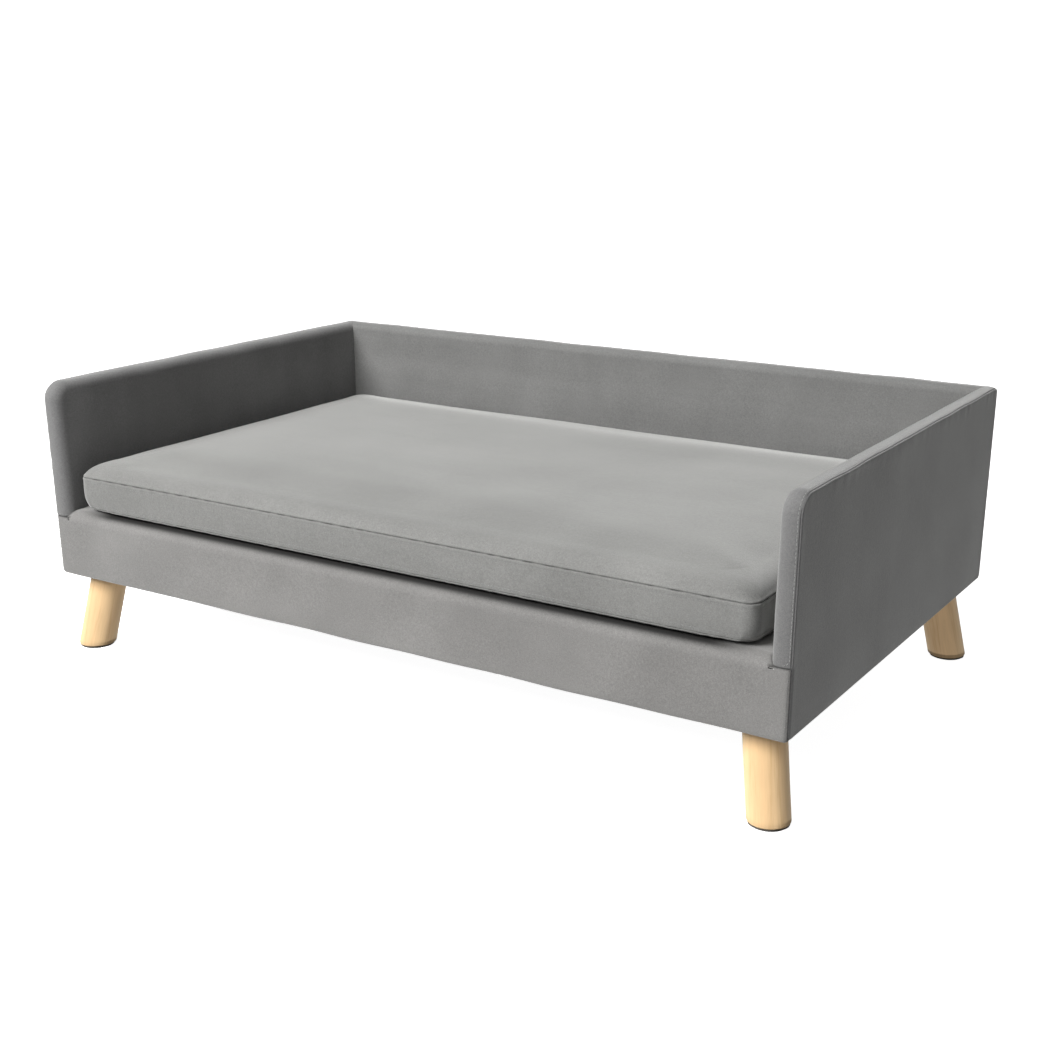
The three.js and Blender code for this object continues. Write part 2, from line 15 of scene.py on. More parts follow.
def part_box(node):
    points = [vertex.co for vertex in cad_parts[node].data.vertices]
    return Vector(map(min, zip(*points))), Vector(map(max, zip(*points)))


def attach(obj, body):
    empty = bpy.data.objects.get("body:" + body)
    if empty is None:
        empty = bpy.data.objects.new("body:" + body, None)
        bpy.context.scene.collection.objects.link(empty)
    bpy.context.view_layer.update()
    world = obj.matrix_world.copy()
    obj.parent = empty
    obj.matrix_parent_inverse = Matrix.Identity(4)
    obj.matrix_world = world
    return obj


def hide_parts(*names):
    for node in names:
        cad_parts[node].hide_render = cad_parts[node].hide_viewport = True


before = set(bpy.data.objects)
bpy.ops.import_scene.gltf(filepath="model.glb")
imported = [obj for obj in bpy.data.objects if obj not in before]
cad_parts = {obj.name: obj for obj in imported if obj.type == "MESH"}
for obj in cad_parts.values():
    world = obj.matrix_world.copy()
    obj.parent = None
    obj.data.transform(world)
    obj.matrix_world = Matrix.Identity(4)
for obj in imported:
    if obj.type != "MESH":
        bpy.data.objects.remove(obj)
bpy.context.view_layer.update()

MM = 0.001
RGB = tuple[float, float, float]
Stop = tuple[float, RGB]
log = logging.getLogger("dog_bed")


# ---------------------------------------------------------------- named choices


class Side(Enum):
    """The two arms, by the sign of their X."""

    LEFT = -1
    RIGHT = 1


class Corner(Enum):
    """The four legs, by the signs of their X and Y."""

    FRONT_LEFT = (-1, -1)
    FRONT_RIGHT = (1, -1)
    BACK_LEFT = (-1, 1)
    BACK_RIGHT = (1, 1)


class Slot(Enum):
    """The record's material slots."""

    VELVET = "velvet"
    CUSHION = "cushion_velvet"
    WADDING = "wadding"
    FOAM = "foam"
    PLYWOOD = "plywood"
    LEG = "leg_wood"
    STEEL = "steel"
    FELT = "felt"
    DUST_CLOTH = "dust_cloth"
    ZIP_COIL = "zip_coil"
    ZIP_METAL = "zip_metal"


class Body(Enum):
    """The bodies that pieces ride on."""

    FRAME = "frame"
    CUSHION = "cushion"
    SLIDER = "zip_slider"
    PULL = "zip_pull"


# ---------------------------------------------------------------- shading


class Shade:
    """A material's node tree while it is being written, with short ways to add and join nodes."""

    def __init__(self, name: str) -> None:
        """Start an empty tree.

        Args:
            name: the material's name.
        """
        self.material = bpy.data.materials.new(name)
        self.material.use_nodes = True
        self.nodes = self.material.node_tree.nodes
        self.links = self.material.node_tree.links
        self.nodes.clear()
        self.place = self.add("ShaderNodeTexCoord").outputs["Object"]

    def add(self, kind: str, inputs: dict[Any, Any] | None = None, **settings: Any) -> bpy.types.Node:
        """Add one node.

        Args:
            kind: the node's type name.
            inputs: values or sockets for its inputs, by name or index.
            **settings: the node's own properties.

        Returns:
            The new node.
        """
        node = self.nodes.new(kind)
        for key, value in settings.items():
            setattr(node, key, value)
        for key, value in (inputs or {}).items():
            if isinstance(value, bpy.types.NodeSocket):
                self.links.new(value, node.inputs[key])
            else:
                node.inputs[key].default_value = value
        return node

    def stretched(self, scale: RGB) -> bpy.types.NodeSocket:
        """The piece's own coordinates, multiplied by a scale on each axis."""
        node = self.add("ShaderNodeMapping", {"Vector": self.place, "Scale": scale})
        return node.outputs["Vector"]

    def noise(
        self, scale: float, detail: float = 2.0, rough: float = 0.5, bend: float = 0.0,
        at: bpy.types.NodeSocket | None = None,
    ) -> bpy.types.NodeSocket:
        """A cloudy pattern.

        Args:
            scale: blotches to a metre.
            detail: how many finer layers lie on it.
            rough: how strong the finer layers are.
            bend: how far the pattern is twisted.
            at: the coordinates it reads, or None for the piece's own.

        Returns:
            The pattern's value, about 0.5 in the middle.
        """
        inputs = {
            "Vector": at or self.place, "Scale": scale, "Detail": detail,
            "Roughness": rough, "Distortion": bend,
        }
        return self.add("ShaderNodeTexNoise", inputs).outputs["Fac"]

    def cells(self, scale: float) -> bpy.types.NodeSocket:
        """The distance to the middle of the nearest of scattered cells, so many to a metre."""
        node = self.add("ShaderNodeTexVoronoi", {"Vector": self.place, "Scale": scale})
        return node.outputs["Distance"]

    def sum(self, a: Any, b: Any, operation: str = "ADD") -> bpy.types.NodeSocket:
        """Two values added, or joined by another operation."""
        return self.add("ShaderNodeMath", {0: a, 1: b}, operation=operation).outputs[0]

    def range(self, value: Any, low: float, high: float, to: tuple[float, float]) -> bpy.types.NodeSocket:
        """A value's stretch from low to high, laid on another stretch and held there."""
        inputs = {"Value": value, "From Min": low, "From Max": high, "To Min": to[0], "To Max": to[1]}
        return self.add("ShaderNodeMapRange", inputs).outputs["Result"]

    def ramp(self, value: Any, stops: Sequence[Stop]) -> bpy.types.NodeSocket:
        """Colours read off a scale.

        Args:
            value: where on the scale.
            stops: places on the scale, each with its colour.

        Returns:
            The colour.
        """
        node = self.add("ShaderNodeValToRGB", {"Fac": value})
        points = node.color_ramp.elements
        while len(points) < len(stops):
            points.new(0.5)
        for point, (place, colour) in zip(points, stops):
            point.position = place
            point.color = (*colour, 1.0)
        return node.outputs["Color"]

    def mix(self, factor: Any, a: Any, b: Any, blend: str = "MIX") -> bpy.types.NodeSocket:
        """Two colours mixed."""
        node = self.add("ShaderNodeMix", {0: factor, 6: a, 7: b}, data_type="RGBA", blend_type=blend)
        return node.outputs[2]

    def mark(self, name: str) -> bpy.types.NodeSocket:
        """A value that the mesh carries at each point."""
        return self.add("ShaderNodeAttribute", attribute_name=name).outputs["Fac"]

    def bump(
        self, height: Any, strength: float, distance: float, under: bpy.types.NodeSocket | None = None
    ) -> bpy.types.NodeSocket:
        """Fine relief.

        Args:
            height: the relief's height.
            strength: how much of it shows.
            distance: how high it is, in metres.
            under: relief that it lies on.

        Returns:
            The bent normal.
        """
        inputs = {"Height": height, "Strength": strength, "Distance": distance}
        if under is not None:
            inputs["Normal"] = under
        return self.add("ShaderNodeBump", inputs).outputs["Normal"]

    def close(self, colour: Any, roughness: Any, normal: Any = None, **fixed: Any) -> bpy.types.Material:
        """End the tree in its shader.

        Args:
            colour: the base colour.
            roughness: the roughness.
            normal: the bent normal.
            **fixed: other values of the shader, set on its own sockets, with _ for a space.

        Returns:
            The material.
        """
        inputs = {"Base Color": colour, "Roughness": roughness}
        if normal is not None:
            inputs["Normal"] = normal
        for key, value in fixed.items():
            inputs[key.replace("_", " ")] = value
        shader = self.add("ShaderNodeBsdfPrincipled", inputs)
        self.add("ShaderNodeOutputMaterial", {"Surface": shader.outputs["BSDF"]})
        return self.material


def scaled(colour: RGB, factor: float) -> RGB:
    """A colour made lighter or darker."""
    return tuple(min(1.0, c * factor) for c in colour)


@dataclass(frozen=True)
class Velvet:
    """Short-pile velvet: brushed patches, faint rub marks, fine pile, a sheen at the edges of folds, and
    painted light and shade from its pieces' marks.
    """

    name: str
    tone: RGB = (0.188, 0.186, 0.183)
    patches: float = 0.062
    rubs: float = 0.05
    speckle: float = 0.23
    rub_stretch: RGB = (4.0, 4.0, 46.0)
    sheen: float = 0.75
    sheen_roughness: float = 0.42

    def material(self) -> bpy.types.Material:
        """Write the material.

        Returns:
            The material.
        """
        s = Shade(self.name)
        broad = s.range(s.noise(8.5, 3.0, 0.55, 0.5), 0.28, 0.72, (-self.patches, self.patches))
        small = s.range(s.noise(38.0, 2.0, 0.6, 0.8), 0.25, 0.75, (-0.4 * self.patches, 0.4 * self.patches))
        rubbed = s.noise(1.0, 3.0, 0.6, 0.3, at=s.stretched(self.rub_stretch))
        rubs = s.range(rubbed, 0.3, 0.7, (-self.rubs, self.rubs))
        pile = s.range(s.noise(900.0, 2.0, 0.6), 0.2, 0.8, (-self.speckle, self.speckle))
        fine = 0.35 * self.speckle
        grain = s.range(s.noise(340.0, 2.0, 0.6), 0.25, 0.75, (-fine, fine))
        light = s.sum(s.sum(s.sum(broad, small), grain), s.sum(rubs, pile))
        # The mark read here holds random pile tone, and painted light and shade that the pieces set on faces,
        # folds, ridges, the deck and the cushion's top.
        pile_tone_and_painted_light = s.sum(light, s.mark("pile_tone_and_painted_light"))
        level = s.range(pile_tone_and_painted_light, -0.6, 0.6, (0.0, 1.0))
        stops = [(0.0, scaled(self.tone, 0.42)), (0.5, self.tone), (1.0, scaled(self.tone, 1.62))]
        colour = s.ramp(level, stops)
        # The seam mark darkens the colour and takes the sheen off: the seams' dark lines, and painted shade
        # in the crease beside each arm, on the deck in the slot under the cushion's front and round the
        # cushion's bottom edge.
        seam = s.range(s.mark("seam"), 0.0, 1.0, (0.0, 0.96))
        colour = s.mix(seam, colour, (*scaled(self.tone, 0.05), 1.0))
        sheen = s.range(seam, 0.0, 0.9, (self.sheen, 0.0))
        relief = s.bump(s.noise(1500.0, 1.0, 0.5), 0.28, 0.0005)
        relief = s.bump(s.noise(260.0, 2.0, 0.6), 0.16, 0.0009, under=relief)
        roughness = s.range(pile, -self.speckle, self.speckle, (0.97, 0.84))
        return s.close(
            colour, roughness, relief, Sheen_Weight=sheen, Sheen_Roughness=self.sheen_roughness,
            Sheen_Tint=(0.96, 0.96, 0.94, 1.0), Specular_IOR_Level=0.18,
        )


@dataclass(frozen=True)
class Thread:
    """Sewing thread with a fine twist."""

    name: str = "seam_thread"
    tone: RGB = (0.29, 0.29, 0.285)

    def material(self) -> bpy.types.Material:
        """Write the material.

        Returns:
            The material.
        """
        s = Shade(self.name)
        twist = s.noise(2600.0, 1.0, 0.5)
        colour = s.ramp(twist, [(0.3, scaled(self.tone, 0.6)), (0.7, scaled(self.tone, 1.25))])
        return s.close(
            colour, s.range(twist, 0.2, 0.8, (0.5, 0.75)), s.bump(twist, 0.4, 0.0002),
            Sheen_Weight=0.3, Sheen_Roughness=0.4,
        )


@dataclass(frozen=True)
class LegWood:
    """Pale wood under a thin satin varnish, with its grain along the leg."""

    name: str = "pale_wood"
    light: RGB = (0.79, 0.578, 0.33)
    dark: RGB = (0.68, 0.46, 0.23)

    def material(self) -> bpy.types.Material:
        """Write the material.

        Returns:
            The material.
        """
        s = Shade(self.name)
        along = s.mark("grain_along")
        across = {0: s.mark("grain_x"), 1: s.mark("grain_y"), 2: along}
        place = s.add("ShaderNodeCombineXYZ", across).outputs[0]
        grain = s.add("ShaderNodeMapping", {"Vector": place, "Scale": (1.0, 1.0, 0.07)}).outputs[0]
        bands = s.noise(70.0, 4.0, 0.62, 1.4, at=grain)
        fine = s.noise(620.0, 2.0, 0.5, 0.2, at=grain)
        cloud = s.noise(16.0, 2.0, 0.5, at=place)
        level = s.sum(s.sum(bands, 0.6, "MULTIPLY"), s.sum(fine, 0.25, "MULTIPLY"))
        level = s.sum(level, s.sum(cloud, 0.25, "MULTIPLY"))
        colour = s.ramp(level, [(0.36, self.dark), (0.52, self.light), (0.74, scaled(self.light, 1.12))])
        end = s.range(s.mark("end_grain"), 0.0, 1.0, (0.0, 0.75))
        colour = s.mix(end, colour, (*scaled(self.dark, 0.62), 1.0))
        relief = s.bump(fine, 0.12, 0.0002)
        return s.close(
            colour, s.range(bands, 0.3, 0.7, (0.5, 0.4)), relief,
            Coat_Weight=0.06, Coat_Roughness=0.34, Specular_IOR_Level=0.3, Diffuse_Roughness=1.0,
        )


@dataclass(frozen=True)
class Plywood:
    """Plywood: long grain on its faces, and thin plies."""

    name: str = "birch_plywood"
    light: RGB = (0.64, 0.47, 0.30)
    dark: RGB = (0.42, 0.27, 0.15)

    def material(self) -> bpy.types.Material:
        """Write the material.

        Returns:
            The material.
        """
        s = Shade(self.name)
        long = s.noise(1.0, 4.0, 0.6, 0.8, at=s.stretched((5.0, 5.0, 60.0)))
        layers = {"Vector": s.stretched((330.0, 330.0, 0.0)), "Scale": 0.5, "Distortion": 0.6}
        plies = s.add("ShaderNodeTexWave", layers).outputs["Fac"]
        level = s.sum(s.sum(long, 0.75, "MULTIPLY"), s.sum(plies, 0.25, "MULTIPLY"))
        colour = s.ramp(level, [(0.3, self.dark), (0.6, self.light), (0.85, scaled(self.light, 1.15))])
        return s.close(colour, s.range(long, 0.2, 0.8, (0.75, 0.6)), s.bump(long, 0.2, 0.0004))


@dataclass(frozen=True)
class Foam:
    """Open-cell foam or its thin wadding."""

    name: str
    tone: RGB
    cells: float = 700.0

    def material(self) -> bpy.types.Material:
        """Write the material.

        Returns:
            The material.
        """
        s = Shade(self.name)
        cells = s.cells(self.cells)
        colour = s.ramp(cells, [(0.05, scaled(self.tone, 0.6)), (0.6, scaled(self.tone, 1.08))])
        cloud = s.range(s.noise(14.0), 0.3, 0.7, (0.9, 1.0))
        return s.close(colour, cloud, s.bump(cells, 0.5, 0.0008), Sheen_Weight=0.2)


@dataclass(frozen=True)
class Metal:
    """Plated or cast metal, brushed a little and worn where it is handled."""

    name: str
    tone: RGB
    roughness: float = 0.34
    brush: RGB = (30.0, 500.0, 500.0)

    def material(self) -> bpy.types.Material:
        """Write the material.

        Returns:
            The material.
        """
        s = Shade(self.name)
        brushed = s.noise(1.0, 3.0, 0.6, at=s.stretched(self.brush))
        cloud = s.noise(60.0, 3.0, 0.6, 0.6)
        colour = s.ramp(cloud, [(0.3, scaled(self.tone, 0.78)), (0.7, scaled(self.tone, 1.1))])
        level = s.sum(s.sum(brushed, 0.5, "MULTIPLY"), s.sum(cloud, 0.5, "MULTIPLY"))
        roughness = s.range(level, 0.3, 0.7, (self.roughness * 0.75, self.roughness * 1.35))
        return s.close(colour, roughness, s.bump(brushed, 0.15, 0.0002), Metallic=1.0)


@dataclass(frozen=True)
class Felt:
    """Pressed felt or non-woven cloth: short fibres in every direction."""

    name: str
    tone: RGB
    fibre: float = 900.0
    dots: float = 0.0

    def material(self) -> bpy.types.Material:
        """Write the material.

        Returns:
            The material.
        """
        s = Shade(self.name)
        fibres = s.noise(self.fibre, 4.0, 0.7, 2.0)
        height = fibres
        if self.dots:
            height = s.sum(fibres, s.range(s.cells(self.dots), 0.1, 0.35, (-0.6, 0.0)))
        stops = [(0.2, scaled(self.tone, 0.5)), (0.8, scaled(self.tone, 1.5))]
        colour = s.ramp(s.range(height, -0.1, 0.8, (0.0, 1.0)), stops)
        roughness = s.range(fibres, 0.3, 0.7, (0.82, 0.98))
        return s.close(colour, roughness, s.bump(height, 0.5, 0.0006), Sheen_Weight=0.25)


@dataclass(frozen=True)
class Coil:
    """The nylon of a zip's coil and the tape that it is sewn to."""

    name: str
    tone: RGB
    threads: float = 0.0

    def material(self) -> bpy.types.Material:
        """Write the material.

        Returns:
            The material.
        """
        s = Shade(self.name)
        cloud = s.noise(180.0, 2.0, 0.5)
        height = cloud
        if self.threads:
            threads = {"Vector": s.place, "Scale": self.threads, "Distortion": 0.4}
            height = s.sum(cloud, s.add("ShaderNodeTexWave", threads).outputs["Fac"])
        colour = s.ramp(cloud, [(0.3, scaled(self.tone, 0.75)), (0.7, scaled(self.tone, 1.2))])
        return s.close(colour, s.range(cloud, 0.3, 0.7, (0.38, 0.58)), s.bump(height, 0.3, 0.0002))


@dataclass(frozen=True)
class StudioFloor:
    """Pale matt studio floor, lit a little from below so that shadows on it stay soft."""

    name: str = "studio_floor"
    tone: RGB = (0.70, 0.70, 0.70)
    glow: float = 0.93

    def material(self) -> bpy.types.Material:
        """Write the material.

        Returns:
            The material.
        """
        s = Shade(self.name)
        cloud = s.noise(3.0)
        colour = s.ramp(cloud, [(0.2, scaled(self.tone, 0.98)), (0.8, self.tone)])
        return s.close(
            colour, s.range(cloud, 0.2, 0.8, (0.9, 0.95)),
            Emission_Color=(1.0, 1.0, 1.0, 1.0), Emission_Strength=self.glow,
        )


@dataclass(frozen=True)
class StudioSky:
    """Plain white beyond the floor."""

    name: str = "studio_sky"

    def material(self) -> bpy.types.Material:
        """Write the material.

        Returns:
            The material.
        """
        s = Shade(self.name)
        glow = s.add("ShaderNodeEmission", {"Color": (1.0, 1.0, 1.0, 1.0), "Strength": 1.15})
        s.add("ShaderNodeOutputMaterial", {"Surface": glow.outputs[0]})
        return s.material


# ---------------------------------------------------------------- mesh tools


def ripple(places: np.ndarray, seed: int, waves: tuple[float, float], terms: int = 14) -> np.ndarray:
    """A smooth random field with a spread of about one.

    Args:
        places: points, or numbers along a line, in metres.
        seed: which field.
        waves: its shortest and longest wavelength, in metres.
        terms: how many waves it is made of.

    Returns:
        The field's value at each place.
    """
    spots = places[..., None] if places.ndim == 1 else places
    dice = np.random.default_rng(seed)
    way = dice.normal(size=(terms, spots.shape[-1]))
    way /= np.linalg.norm(way, axis=1, keepdims=True)
    length = dice.uniform(*waves, terms)
    phase = dice.uniform(0, 2 * math.pi, terms)
    total = np.zeros(spots.shape[:-1])
    for k in range(terms):
        total += np.sin(spots @ way[k] * (2 * math.pi / length[k]) + phase[k])
    return total / math.sqrt(terms / 2)


def ease(value: np.ndarray, low: float, high: float) -> np.ndarray:
    """0 below low, 1 above high, and a smooth rise between them."""
    t = np.clip((value - low) / (high - low), 0, 1)
    return t * t * (3 - 2 * t)


def fade(distance: np.ndarray, reach: float) -> np.ndarray:
    """1 at no distance, falling off smoothly over reach."""
    return np.exp(-((distance / reach) ** 2))


def graded(cells: int, crowding: float = 0.5) -> np.ndarray:
    """Fractions from 0 to 1, closer together at both ends."""
    t = np.linspace(0, 1, cells + 1)
    return (1 - crowding) * t + crowding * (0.5 - 0.5 * np.cos(math.pi * t))


def normals_of(points: np.ndarray, faces: np.ndarray) -> np.ndarray:
    """The outward normal at each point of a mesh of quads.

    Args:
        points: the mesh's points.
        faces: its quads, as indices.

    Returns:
        Unit normals.
    """
    a, b, c, d = (points[faces[:, k]] for k in range(4))
    flat = np.cross(c - a, d - b)
    total = np.zeros_like(points)
    for k in range(4):
        for axis in range(3):
            total[:, axis] += np.bincount(faces[:, k], weights=flat[:, axis], minlength=len(points))
    return total / np.maximum(np.linalg.norm(total, axis=1, keepdims=True), 1e-15)


def turned_out(points: np.ndarray, faces: np.ndarray) -> np.ndarray:
    """The quads of a closed mesh, turned over if they face inwards."""
    a, b, c, d = (points[faces[:, k]] for k in range(4))
    volume = np.einsum("ij,ij->i", a, np.cross(b, c)).sum() + np.einsum("ij,ij->i", a, np.cross(c, d)).sum()
    return faces if volume > 0 else faces[:, ::-1]


def corners(node: str) -> tuple[np.ndarray, np.ndarray]:
    """The low and the high corner of a node's box in the model."""
    low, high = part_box(node)
    return np.array(low), np.array(high)


def grid_faces(grid: np.ndarray) -> np.ndarray:
    """The quads of a grid of points' indices."""
    return np.stack([grid[:-1, :-1], grid[:-1, 1:], grid[1:, 1:], grid[1:, :-1]], -1).reshape(-1, 4)


def tube_faces(rings: int, sides: int) -> list[list[int]]:
    """The quads between rings of points, each ring with as many points."""
    return [
        [r * sides + k, r * sides + (k + 1) % sides, (r + 1) * sides + (k + 1) % sides, (r + 1) * sides + k]
        for r in range(rings - 1) for k in range(sides)
    ]


def capped_faces(rings: int, sides: int) -> list[list[int]]:
    """The quads between rings of points, with a face over each end."""
    last = (rings - 1) * sides
    return tube_faces(rings, sides) + [list(range(sides))[::-1], [last + k for k in range(sides)]]


def spline(values: np.ndarray, at: np.ndarray, closed: bool) -> np.ndarray:
    """Values between rows, by a smooth curve through them.

    Args:
        values: rows of anything.
        at: the places wanted, in rows.
        closed: True where the last row joins the first.

    Returns:
        One row for each place.
    """
    count = len(values)
    base = np.floor(at).astype(int)
    if not closed:
        base = np.clip(base, 0, count - 2)
    t = (at - base).reshape(-1, *([1] * (values.ndim - 1)))
    if closed:
        p = [values[(base + k) % count] for k in (-1, 0, 1, 2)]
    else:
        padded = np.concatenate([2 * values[:1] - values[1:2], values, 2 * values[-1:] - values[-2:-1]])
        p = [padded[base + k] for k in (0, 1, 2, 3)]
    return 0.5 * (
        2 * p[1] + (p[2] - p[0]) * t + (2 * p[0] - 5 * p[1] + 4 * p[2] - p[3]) * t**2
        + (3 * p[1] - p[0] - 3 * p[2] + p[3]) * t**3
    )


@dataclass
class Outline:
    """A rounded rectangle, walked from the middle of its low-low corner, with even steps along each side."""

    low: tuple[float, float]
    high: tuple[float, float]
    radii: tuple[float, float, float, float]
    along_u: np.ndarray
    along_v: np.ndarray
    arc_cells: int = 4
    least: float = 0.003

    @property
    def cells(self) -> tuple[int, int]:
        """Cells along u and along v, with the corners' share."""
        return (
            len(self.along_u) - 1 + 2 * self.arc_cells,
            len(self.along_v) - 1 + 2 * self.arc_cells,
        )

    def loop(self, inset: float, corner: float | None = None) -> np.ndarray:
        """The outline, moved inwards.

        Args:
            inset: how far, in metres.
            corner: the radius of its corners, or None for what is left of the outline's own.

        Returns:
            Points in the plane, counter-clockwise.
        """
        low, high = np.array(self.low) + inset, np.array(self.high) - inset
        left = [max(radius - inset, min(radius, self.least)) for radius in self.radii]
        r = left if corner is None else [corner] * 4
        centres = [
            (low[0] + r[0], low[1] + r[0]), (high[0] - r[1], low[1] + r[1]),
            (high[0] - r[2], high[1] - r[2]), (low[0] + r[3], high[1] - r[3]),
        ]

        def arc(which: int, start: float) -> np.ndarray:
            """Half of a corner's arc, from an angle in degrees."""
            angle = np.radians(start + np.linspace(0, 45, self.arc_cells + 1))
            return np.array(centres[which]) + r[which] * np.stack([np.cos(angle), np.sin(angle)], 1)

        walk = []
        for which, start in enumerate((225.0, 315.0, 45.0, 135.0)):
            leaving, arriving = arc(which, start), arc((which + 1) % 4, start + 45.0)
            fractions = self.along_u if which % 2 == 0 else self.along_v
            if which >= 2:
                fractions = 1 - fractions[::-1]
            t = fractions[1:-1, None]
            straight = leaving[-1] * (1 - t) + arriving[0] * t
            walk += [leaving, straight, arriving[:-1]]
        return np.concatenate(walk)

    def fill(self, loop: np.ndarray) -> np.ndarray:
        """A grid of points inside a loop.

        Args:
            loop: the loop's points, of any dimension.

        Returns:
            Points by row (v) and column (u), with the loop at the edge.
        """
        nu, nv = self.cells
        closed = np.concatenate([loop, loop[:1]])
        bottom, right = closed[: nu + 1], closed[nu : nu + nv + 1]
        top, left = closed[nu + nv : 2 * nu + nv + 1][::-1], closed[2 * nu + nv :][::-1]
        a = np.linspace(0, 1, nu + 1)[None, :, None]
        b = np.linspace(0, 1, nv + 1)[:, None, None]
        twice = (1 - a) * (1 - b) * bottom[0] + a * (1 - b) * bottom[-1]
        twice = twice + a * b * top[-1] + (1 - a) * b * top[0]
        return (1 - b) * bottom[None] + b * top[None] + (1 - a) * left[:, None] + a * right[:, None] - twice


@dataclass
class Shell:
    """A closed padded shape: rings through its thickness, and a grid of points over each face."""

    rim: np.ndarray
    first: np.ndarray
    last: np.ndarray

    @classmethod
    def stacked(cls, outline: Outline, stations: Sequence[tuple[float, ...]]) -> "Shell":
        """Stack an outline's loops.

        Args:
            outline: the outline.
            stations: each loop's inset, its place through the thickness and, if it has its own, its
                corners' radius.

        Returns:
            The shell, its coordinates in the order u, v, thickness.
        """
        loops = [(outline.loop(inset, *corner), w) for inset, w, *corner in stations]
        rim = np.stack([np.c_[loop, np.full(len(loop), w)] for loop, w in loops])
        return cls(rim, outline.fill(rim[0]), outline.fill(rim[-1]))

    @property
    def size(self) -> tuple[int, int, int, int]:
        """Rings, points in a ring, and the faces' cells along u and v."""
        return self.rim.shape[0], self.rim.shape[1], self.first.shape[1] - 1, self.first.shape[0] - 1

    def points(self) -> np.ndarray:
        """Every point once."""
        inner = [face[1:-1, 1:-1].reshape(-1, 3) for face in (self.first, self.last)]
        return np.concatenate([self.rim.reshape(-1, 3), *inner])

    def grids(self) -> tuple[np.ndarray, np.ndarray]:
        """The indices of the first and the last face's points, by row and column."""
        rings, around, nu, nv = self.size
        made = []
        for which, ring in enumerate((0, rings - 1)):
            grid = np.zeros((nv + 1, nu + 1), int)
            loop = ring * around + np.arange(around + 1) % around
            grid[0] = loop[: nu + 1]
            grid[:, -1] = loop[nu : nu + nv + 1]
            grid[-1] = loop[nu + nv : 2 * nu + nv + 1][::-1]
            grid[:, 0] = loop[2 * nu + nv :][::-1]
            start = rings * around + which * (nu - 1) * (nv - 1)
            grid[1:-1, 1:-1] = start + np.arange((nu - 1) * (nv - 1)).reshape(nv - 1, nu - 1)
            made.append(grid)
        return made[0], made[1]

    def faces(self) -> np.ndarray:
        """All quads, in the sense that suits right-handed coordinates."""
        first, last = (grid_faces(grid) for grid in self.grids())
        return np.concatenate([np.array(tube_faces(*self.size[:2])), first[:, ::-1], last])

    def by_ring(self, values: np.ndarray, elsewhere: float) -> np.ndarray:
        """Each point's value: the one of its ring, or another where it lies inside a face."""
        rings, around, _, _ = self.size
        made = np.full(len(self.points()), elsewhere)
        made[: rings * around] = np.repeat(values, around)
        return made

    def with_points(self, points: np.ndarray) -> "Shell":
        """The same shell with its points moved."""
        first, last = self.grids()
        rings, around, _, _ = self.size
        return Shell(points[: rings * around].reshape(rings, around, 3), points[first], points[last])

    def refined(self, rows: np.ndarray, factor: int) -> "Shell":
        """A finer shell on the same smooth surface.

        Args:
            rows: which rings the new one has, as places between the old rings.
            factor: new cells for each old one, along and across.

        Returns:
            The finer shell.
        """
        _, around, nu, nv = self.size
        rim = spline(self.rim, rows, False)
        rim = spline(rim.transpose(1, 0, 2), np.arange(around * factor) / factor, True).transpose(1, 0, 2)
        faces = []
        for face in (self.first, self.last):
            fine = spline(face, np.arange(nv * factor + 1) / factor, False)
            fine = spline(fine.transpose(1, 0, 2), np.arange(nu * factor + 1) / factor, False)
            faces.append(fine.transpose(1, 0, 2))
        made = Shell(rim, *faces)
        return made.with_points(made.points())


def piece(
    name: str, points: np.ndarray, faces: Any, material: bpy.types.Material, body: Body, slot: Slot,
    marks: dict[str, np.ndarray] | None = None,
) -> bpy.types.Object:
    """Make a mesh object that rides on a body.

    Args:
        name: the piece's name.
        points: its points, in metres.
        faces: its faces, as indices.
        material: its finish.
        body: the body it rides on.
        slot: the record's slot of its finish; not used.
        marks: values at each point, which the finish reads.

    Returns:
        The object.
    """
    mesh = bpy.data.meshes.new(name)
    rows = faces.tolist() if isinstance(faces, np.ndarray) else faces
    mesh.from_pydata(np.asarray(points).tolist(), [], rows)
    for key, values in (marks or {}).items():
        layer = mesh.attributes.new(key, "FLOAT", "POINT")
        layer.data.foreach_set("value", np.asarray(values, np.float32))
    mesh.polygons.foreach_set("use_smooth", [True] * len(mesh.polygons))
    mesh.materials.append(material)
    mesh.update()
    made = bpy.data.objects.new(name, mesh)
    bpy.context.scene.collection.objects.link(made)
    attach(made, body.value)
    log.info("%s: %d faces on %s", name, len(rows), body.value)
    return made


def joined(parts: Sequence[tuple[np.ndarray, Sequence[Sequence[int]]]]) -> tuple[np.ndarray, list[list[int]]]:
    """Several meshes as one.

    Args:
        parts: each mesh's points and faces.

    Returns:
        All points and all faces.
    """
    points, faces, start = [], [], 0
    for spots, polygons in parts:
        points.append(np.asarray(spots))
        faces += [[start + i for i in polygon] for polygon in polygons]
        start += len(spots)
    return np.concatenate(points), faces


